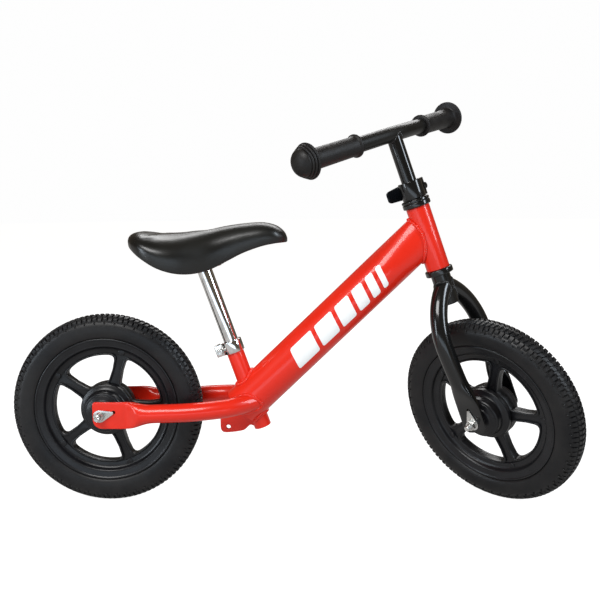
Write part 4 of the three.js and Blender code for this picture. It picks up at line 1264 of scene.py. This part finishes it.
def lever_blade():
    """A curved blade that bows round the clamp, thinner and lower towards its tip."""
    spine = path_points([(21, 15.5, 0), (13, 21.5, 0), (2, 26.2, 0), (-10, 28.4, 0), (-23, 28.8, 0)], 10)
    rings = []
    count = len(spine)
    for i, (centre, along) in enumerate(zip(spine, ways(spine))):
        share = i / (count - 1)
        side = Vector((-along.y, along.x, 0))
        tall = mix(12.6, 8.8, share)
        thick = mix(2.5, 1.8, share)
        ending = max(0.0, (share - 0.86) / 0.14)
        tall *= math.sqrt(max(1 - ending ** 2 * 0.45, 0))
        thick *= math.sqrt(max(1 - ending ** 4 * 0.6, 0))
        rings.append(oval(centre, side, Vector((0, 0, 1)), thick, tall, 2.7, 36))
    return skin("blade", rings)


def add_bar_clamp():
    outline = band_outline(STEERER_RADIUS + 0.3, 2.7, 26.6, 6, 1.6)
    band = plate("bar_band", outline, 0, BAR_CLAMP_HEIGHT, 0.9)
    level = BAR_CLAMP_HEIGHT / 2
    band = carved(band, bolt_room(BOLT_REACH, level))
    keep(placed(band, BAR_CLAMP), BLACK, "fork", "black_paint", "bar_clamp_band")
    bolt_axes = across_ears(BAR_CLAMP, BOLT_REACH, level)
    bolt = threaded("bar_bolt", 2.9, 0, 10.7, bolt_axes @ Matrix.Rotation(math.pi, 4, "X"), 1)
    bolt_far = turned("bolt_far", [(0, 0), (2.9, 0), (2.9, 8.4), (0, 8.4)], bolt_axes, 32, False)
    bolt = joined("clamp_bolt", bolt, bolt_far)
    soften(bolt, 24)
    keep(bolt, BLACK, "fork", "black_paint", "bar_clamp_bolt")
    nut = hex_nut("clamp_nut", 9, 3, -9.9, -6.3, bolt_axes)
    keep(nut, BLACK, "fork", "black_paint", "bar_clamp_nut")
    pin_axes = BAR_CLAMP @ Matrix.Translation((BOLT_REACH, PIVOT_OUT, level))
    pin = rounded([(0, -10.6), (3.2, -10.6, 0.6), (3.2, 10.6, 0.6), (0, 10.6)], 0.3, 3, False)
    keep(turned("pivot_pin", pin, pin_axes, 32, False), ZINC, "fork", "zinc", "lever_pivot_pin")
    knuckle = turned("knuckle", rounded([(3.5, -10), (5.6, -10, 0.8), (5.6, 10, 0.8), (3.5, 10)], 0.3),
                     Matrix.Translation((BOLT_REACH, PIVOT_OUT, 0)), 40)
    slots = [rod("slot", 8, (BOLT_REACH, PIVOT_OUT, -3.7), (0, 0, 1), 7.4, 32) for _ in range(2)]
    lever = joined("quick_lever", carved(lever_blade(), slots[0]), carved(knuckle, slots[1]))
    soften(lever)
    placed(lever, BAR_CLAMP @ Matrix.Translation((0, 0, level)))
    keep(lever, LEVER, "lever", "black_paint", "bar_clamp_lever")


# ---- handlebar ----
BAR_HEIGHT = 436.3
BAR_RADIUS = 11.1
BAR_HALF = 165
SWEEP = math.radians(6.2)
GRIP_FROM = 76.4
FLANGE = 165.7


def bar_back(y):
    """How far the bar is swept back at a distance from the stem, with a soft bend."""
    reach = abs(y) - 16
    eased = reach if reach > 8 else max(0, (reach + 8)) ** 2 / 32
    return -eased * math.tan(SWEEP)


def add_handlebar():
    reach = BAR_HALF * math.cos(SWEEP)
    half = [4, 8, 12, 16, 20, 24, 30, 60, 100, reach]
    stops = [-y for y in half[::-1]] + [0] + half
    centres = [Vector((bar_back(y), y, BAR_HEIGHT)) for y in stops]
    rings = []
    for centre, along in zip(centres, ways(centres)):
        side = Vector((0, 0, 1)).cross(along).normalized()
        rings.append(oval(centre, side, (0, 0, 1), BAR_RADIUS, BAR_RADIUS, 2, 56))
    keep(skin("bar_tube", rings, STEER), BAR_BLACK, "handlebar", "black_paint", "handlebar_tube")
    low, high = 268, BAR_HEIGHT - 3
    stem = rounded([(9.5, low), (STEM_RADIUS, low, 0.8), (STEM_RADIUS, high), (9.5, high)], 0.3)
    keep(turned("quill_stem", stem, STEER, 56), BLACK, "handlebar", "black_paint", "stem_tube")
    lines = [oval((0, 0, z), (1, 0, 0), (0, 1, 0), STEM_RADIUS, STEM_RADIUS, 2, 56)
             for z in (mix(400, BAR_HEIGHT, k / 50) for k in range(51))]
    loop = crossing(lines, within((0, 0, BAR_HEIGHT), (0, 1, 0), BAR_RADIUS))
    keep(welded("stem_weld", loop, BLACK, STEER, 1.7), BLACK, "handlebar", "black_paint")
    for hand, way in (("right", -1), ("left", 1)):
        add_grip(hand, way)


def add_grip(hand, way):
    f, g = FLANGE, GRIP_FROM
    corners = [
        (11.3, g), (14.3, g, 0.8), (16.4, g + 1.2, 0.9), (16.5, g + 4.4, 1.0), (14.3, g + 5.8, 1.2),
        (13.9, g + 12, 2), (14.4, f - 4, 2), (15.5, f - 0.6, 1.5), (24.2, f, 0.8), (25, f + 1.6, 0.7),
        (24.8, f + 3.2, 0.8), (21.4, f + 3.9, 0.4), (23.2, f + 4.8, 0.6), (23.0, f + 7.0, 0.8),
        (19.6, f + 7.7, 0.4), (21.3, f + 8.6, 0.6), (21.1, f + 10.8, 0.8), (17.9, f + 11.4, 0.4),
        (19.4, f + 12.2, 0.6), (18.8, f + 15.0, 3), (14.8, f + 20.0, 5),
        (8, f + 22.9, 4), (0, f + 23.5),
    ]
    profile = [(0, BAR_HALF + 1), (11.3, BAR_HALF + 1)]
    profile += [tuple(p) for p in rounded(corners, 0.6, 4, False)]
    outward = Vector((-math.sin(SWEEP), way * math.cos(SWEEP), 0))
    start = Vector((16 * math.tan(SWEEP), 0, BAR_HEIGHT))
    turn = axes((0, 0, 0), outward, (0, 0, 1)) @ Matrix.Scale(1 / MM, 4)
    where = STEER @ Matrix.Translation(start) @ turn
    grip = turned(f"grip_sleeve_{hand}", profile, where, 72, False)
    keep(grip, RUBBER, "handlebar", "rubber", f"grip_{hand}")


# ---- saddle ----
# Along, underside, top, half width: from the rear tip to the nose.
SADDLE = [
    (43.5, 398.5, 405, 15), (48.5, 393, 411, 34), (58, 386.5, 414.3, 51), (72, 377.5, 413.8, 64),
    (94, 364.8, 411, 70), (118, 356.6, 411.2, 67), (142, 354.6, 413.8, 57), (166, 359.3, 417.4, 45.5),
    (190, 370.6, 422, 38.5), (214, 382.6, 425.4, 35), (240, 391.8, 427, 32), (258, 395.5, 423.5, 28),
    (268, 396.5, 418, 22), (274.5, 397, 411, 15.5), (277.5, 397.5, 403.5, 9),
]
RECESS = 6.5
POST_RADIUS = 11.1
POST_FROM = 72  # its lower end, along the seat tube


def saddle_stations():
    low = path_points([(x, under, half) for x, under, top, half in SADDLE], 6)
    high = path_points([(x, top, half) for x, under, top, half in SADDLE], 6)
    return [(a.x, a.y, b.y, a.z) for a, b in zip(low, high)]


def hollow(under, top, half):
    """How deep the underside is, and how wide the edge that goes round it."""
    return min(RECESS, (top - under) * 0.3), min(7.5, half * 0.35)


def cushion_ring(x, under, top, half, inset=0.0):
    """A section: crowned top, full sides, and a turned-in edge round a hollow underside."""
    depth, edge = hollow(under, top, half)
    widest = mix(under, top, 0.36)
    side = []
    for j in range(17):
        angle = math.pi / 2 * (1 - j / 16)
        side.append((half * math.cos(angle) ** 0.86, widest + (top - widest) * math.sin(angle) ** 0.92))
    drop = widest - under
    side += [(half - edge * 0.04, widest - drop * 0.35), (half - edge * 0.16, widest - drop * 0.7)]
    side += [(half - edge * 0.34, under + drop * 0.06), (half - edge * 0.5, under)]
    side += [(half - edge * 0.75, under + depth * 0.12), (half - edge, under + depth * 0.6)]
    side += [(half - edge * 1.15, under + depth)]
    ring = [Vector((x, y, z)) for y, z in side] + [Vector((x, 0, under + depth))]
    ring += [Vector((x, -p.y, p.z)) for p in ring[-2:0:-1]]
    heart = Vector((x, 0, mix(under + depth, top, 0.5)))
    outer = len(side) - 5
    shrunk = []
    for k, p in enumerate(ring):
        seen = k < outer or k > len(ring) - outer
        shrunk.append(p + (heart - p).normalized() * inset if seen else p)
    return shrunk


def swollen(pad, reach, pressure=4.0, frames=20):
    """Lets pressure swell a closed pad, by no more than reach; its underside stays put."""
    rest = [v.co.copy() for v in pad.data.vertices]
    group = pad.vertex_groups.new(name="foot")
    for i, p in enumerate(rest):
        group.add([i], 1.0 if pad.data.vertices[i].normal.z < -0.35 else 0.0, "REPLACE")
    cloth = pad.modifiers.new("cloth", "CLOTH")
    cloth.settings.quality = 6
    cloth.settings.mass = 0.3
    cloth.settings.tension_stiffness = 25
    cloth.settings.compression_stiffness = 25
    cloth.settings.bending_stiffness = 4
    cloth.settings.use_pressure = True
    cloth.settings.uniform_pressure_force = pressure
    cloth.settings.effector_weights.gravity = 0
    cloth.settings.vertex_group_mass = "foot"
    cloth.point_cache.frame_start = 1
    cloth.point_cache.frame_end = frames
    scene = bpy.context.scene
    for step in range(1, frames + 1):
        scene.frame_set(step)
    view = bpy.context.evaluated_depsgraph_get()
    mesh = pad.evaluated_get(view).data
    moved = [v.co.copy() for v in mesh.vertices]
    pad.modifiers.remove(cloth)
    scene.frame_set(1)
    outward = [v.normal.copy() for v in pad.data.vertices]
    for vertex, old, new, way in zip(pad.data.vertices, rest, moved, outward):
        vertex.co = old + way * min(max((new - old).dot(way), 0), reach)
    pad.vertex_groups.clear()
    return pad


def add_cushion():
    inset = 0.6
    rings = [cushion_ring(*station, inset) for station in saddle_stations()]
    pad = skin("saddle_pad", rings, BIKE)
    pad = swollen(pad, 0.0014)
    finer = pad.modifiers.new("finer", "SUBSURF")
    finer.levels = finer.render_levels = 1
    pad = plain(pad, "saddle_pad")
    soften(pad, 70)
    keep(pad, VINYL, "seat", "vinyl", "saddle_cushion")


def add_saddle_shell():
    """The plastic pan set into the hollow under the cushion, with a small raised rim."""
    rings = []
    for x, under, top, half in saddle_stations()[3:-3]:
        depth, edge = hollow(under, top, half)
        wide = half - edge * 1.05
        rim = min(2.2, wide * 0.2)
        deep = under + depth
        half_ring = [
            (0, deep - 1.6), (wide - rim * 2, deep - 1.6), (wide - rim, deep - 1.9),
            (wide - rim * 0.9, under + depth * 0.4), (wide - rim * 0.5, under + depth * 0.3),
            (wide, under + depth * 0.45), (wide, under + depth * 0.9), (wide - rim * 0.4, deep + 0.4),
        ]
        ring = [(x, y, z) for y, z in half_ring]
        ring += [(x, 0, deep + 0.4)]
        ring += [(x, -y, z) for y, z in half_ring[:0:-1]]
        rings.append(ring)
    pan = skin("saddle_pan", rings, BIKE, crease=40)
    keep(pan, BASE, "seat", "seat_base", "saddle_base")


def saddle_axes():
    tilt = math.radians(-11)
    return BIKE @ Matrix.Translation((152, 0, 364)) @ Matrix.Rotation(tilt, 4, "Y")


def add_seat():
    add_cushion()
    add_saddle_shell()
    where = saddle_axes()
    corners = rounded([(-30, -20, 4), (30, -20, 4), (30, 20, 4), (-30, 20, 4)], 4, 5)
    holes = [circle(2.8, 20, x, y) for x in (-24, 24) for y in (-14, 14)]
    slab = plate("mount_plate", corners, -3.3, -0.3, 0.4, where, holes)
    keep(slab, ZINC, "seat", "zinc", "saddle_plate")
    head = [
        (0, -5.6), (3.4, -5.4, 1.2), (4.6, -4.4, 0.6), (4.6, -3.7, 0.2), (2.4, -3.6), (2.4, 4), (0, 4),
    ]
    for name, x, y in (("1", 24, 14), ("2", 24, -14), ("3", -24, 14), ("4", -24, -14)):
        spot = where @ Matrix.Translation((x, y, 0))
        screw = turned(f"pan_screw_{name}", rounded(head, 0.2, 3, False), spot, 32, False)
        keep(screw, ZINC, "seat", "zinc", f"saddle_screw_{name}")
    top = (where.translation - SEAT.translation).dot(SEAT_WAY) / MM - 4
    r = POST_RADIUS
    profile = rounded([(9.5, POST_FROM), (r, POST_FROM, 0.8), (r, top), (9.5, top)], 0.3)
    keep(turned("chromed_post", profile, SEAT, 64), CHROME, "seat", "chrome", "seat_post")
    ring = oval((0, 0, top - 0.6), (1, 0, 0), (0, 1, 0), r, r, 2, 56)
    keep(welded("post_weld", ring, ZINC, SEAT, 1.5), ZINC, "seat", "zinc")


# ---- assembly ----
add_camera()
add_studio()
slots = {part["node"]: part["material_slot"] for part in frame["record"]["subparts"]}
for cad_node, cad_piece in frame["nodes"].items():
    cad_piece.data.materials.clear()
    inner = "bearing" in cad_node or "spacer" in cad_node
    cad_piece.data.materials.append(STEEL if inner else FINISH_OF_SLOT[slots[cad_node]])
add_wheel("rear", math.radians(2), REAR_WHEEL)
add_wheel("front", math.radians(-11), FRONT_WHEEL)
add_axle_ends("rear", "frame", REAR_WHEEL, TAB_ANGLE)
add_axle_ends("front", "fork", FRONT_WHEEL, math.pi / 2)
add_frame()
add_headset()
add_fork()
add_seat_clamp()
add_bar_clamp()
add_handlebar()
add_seat()
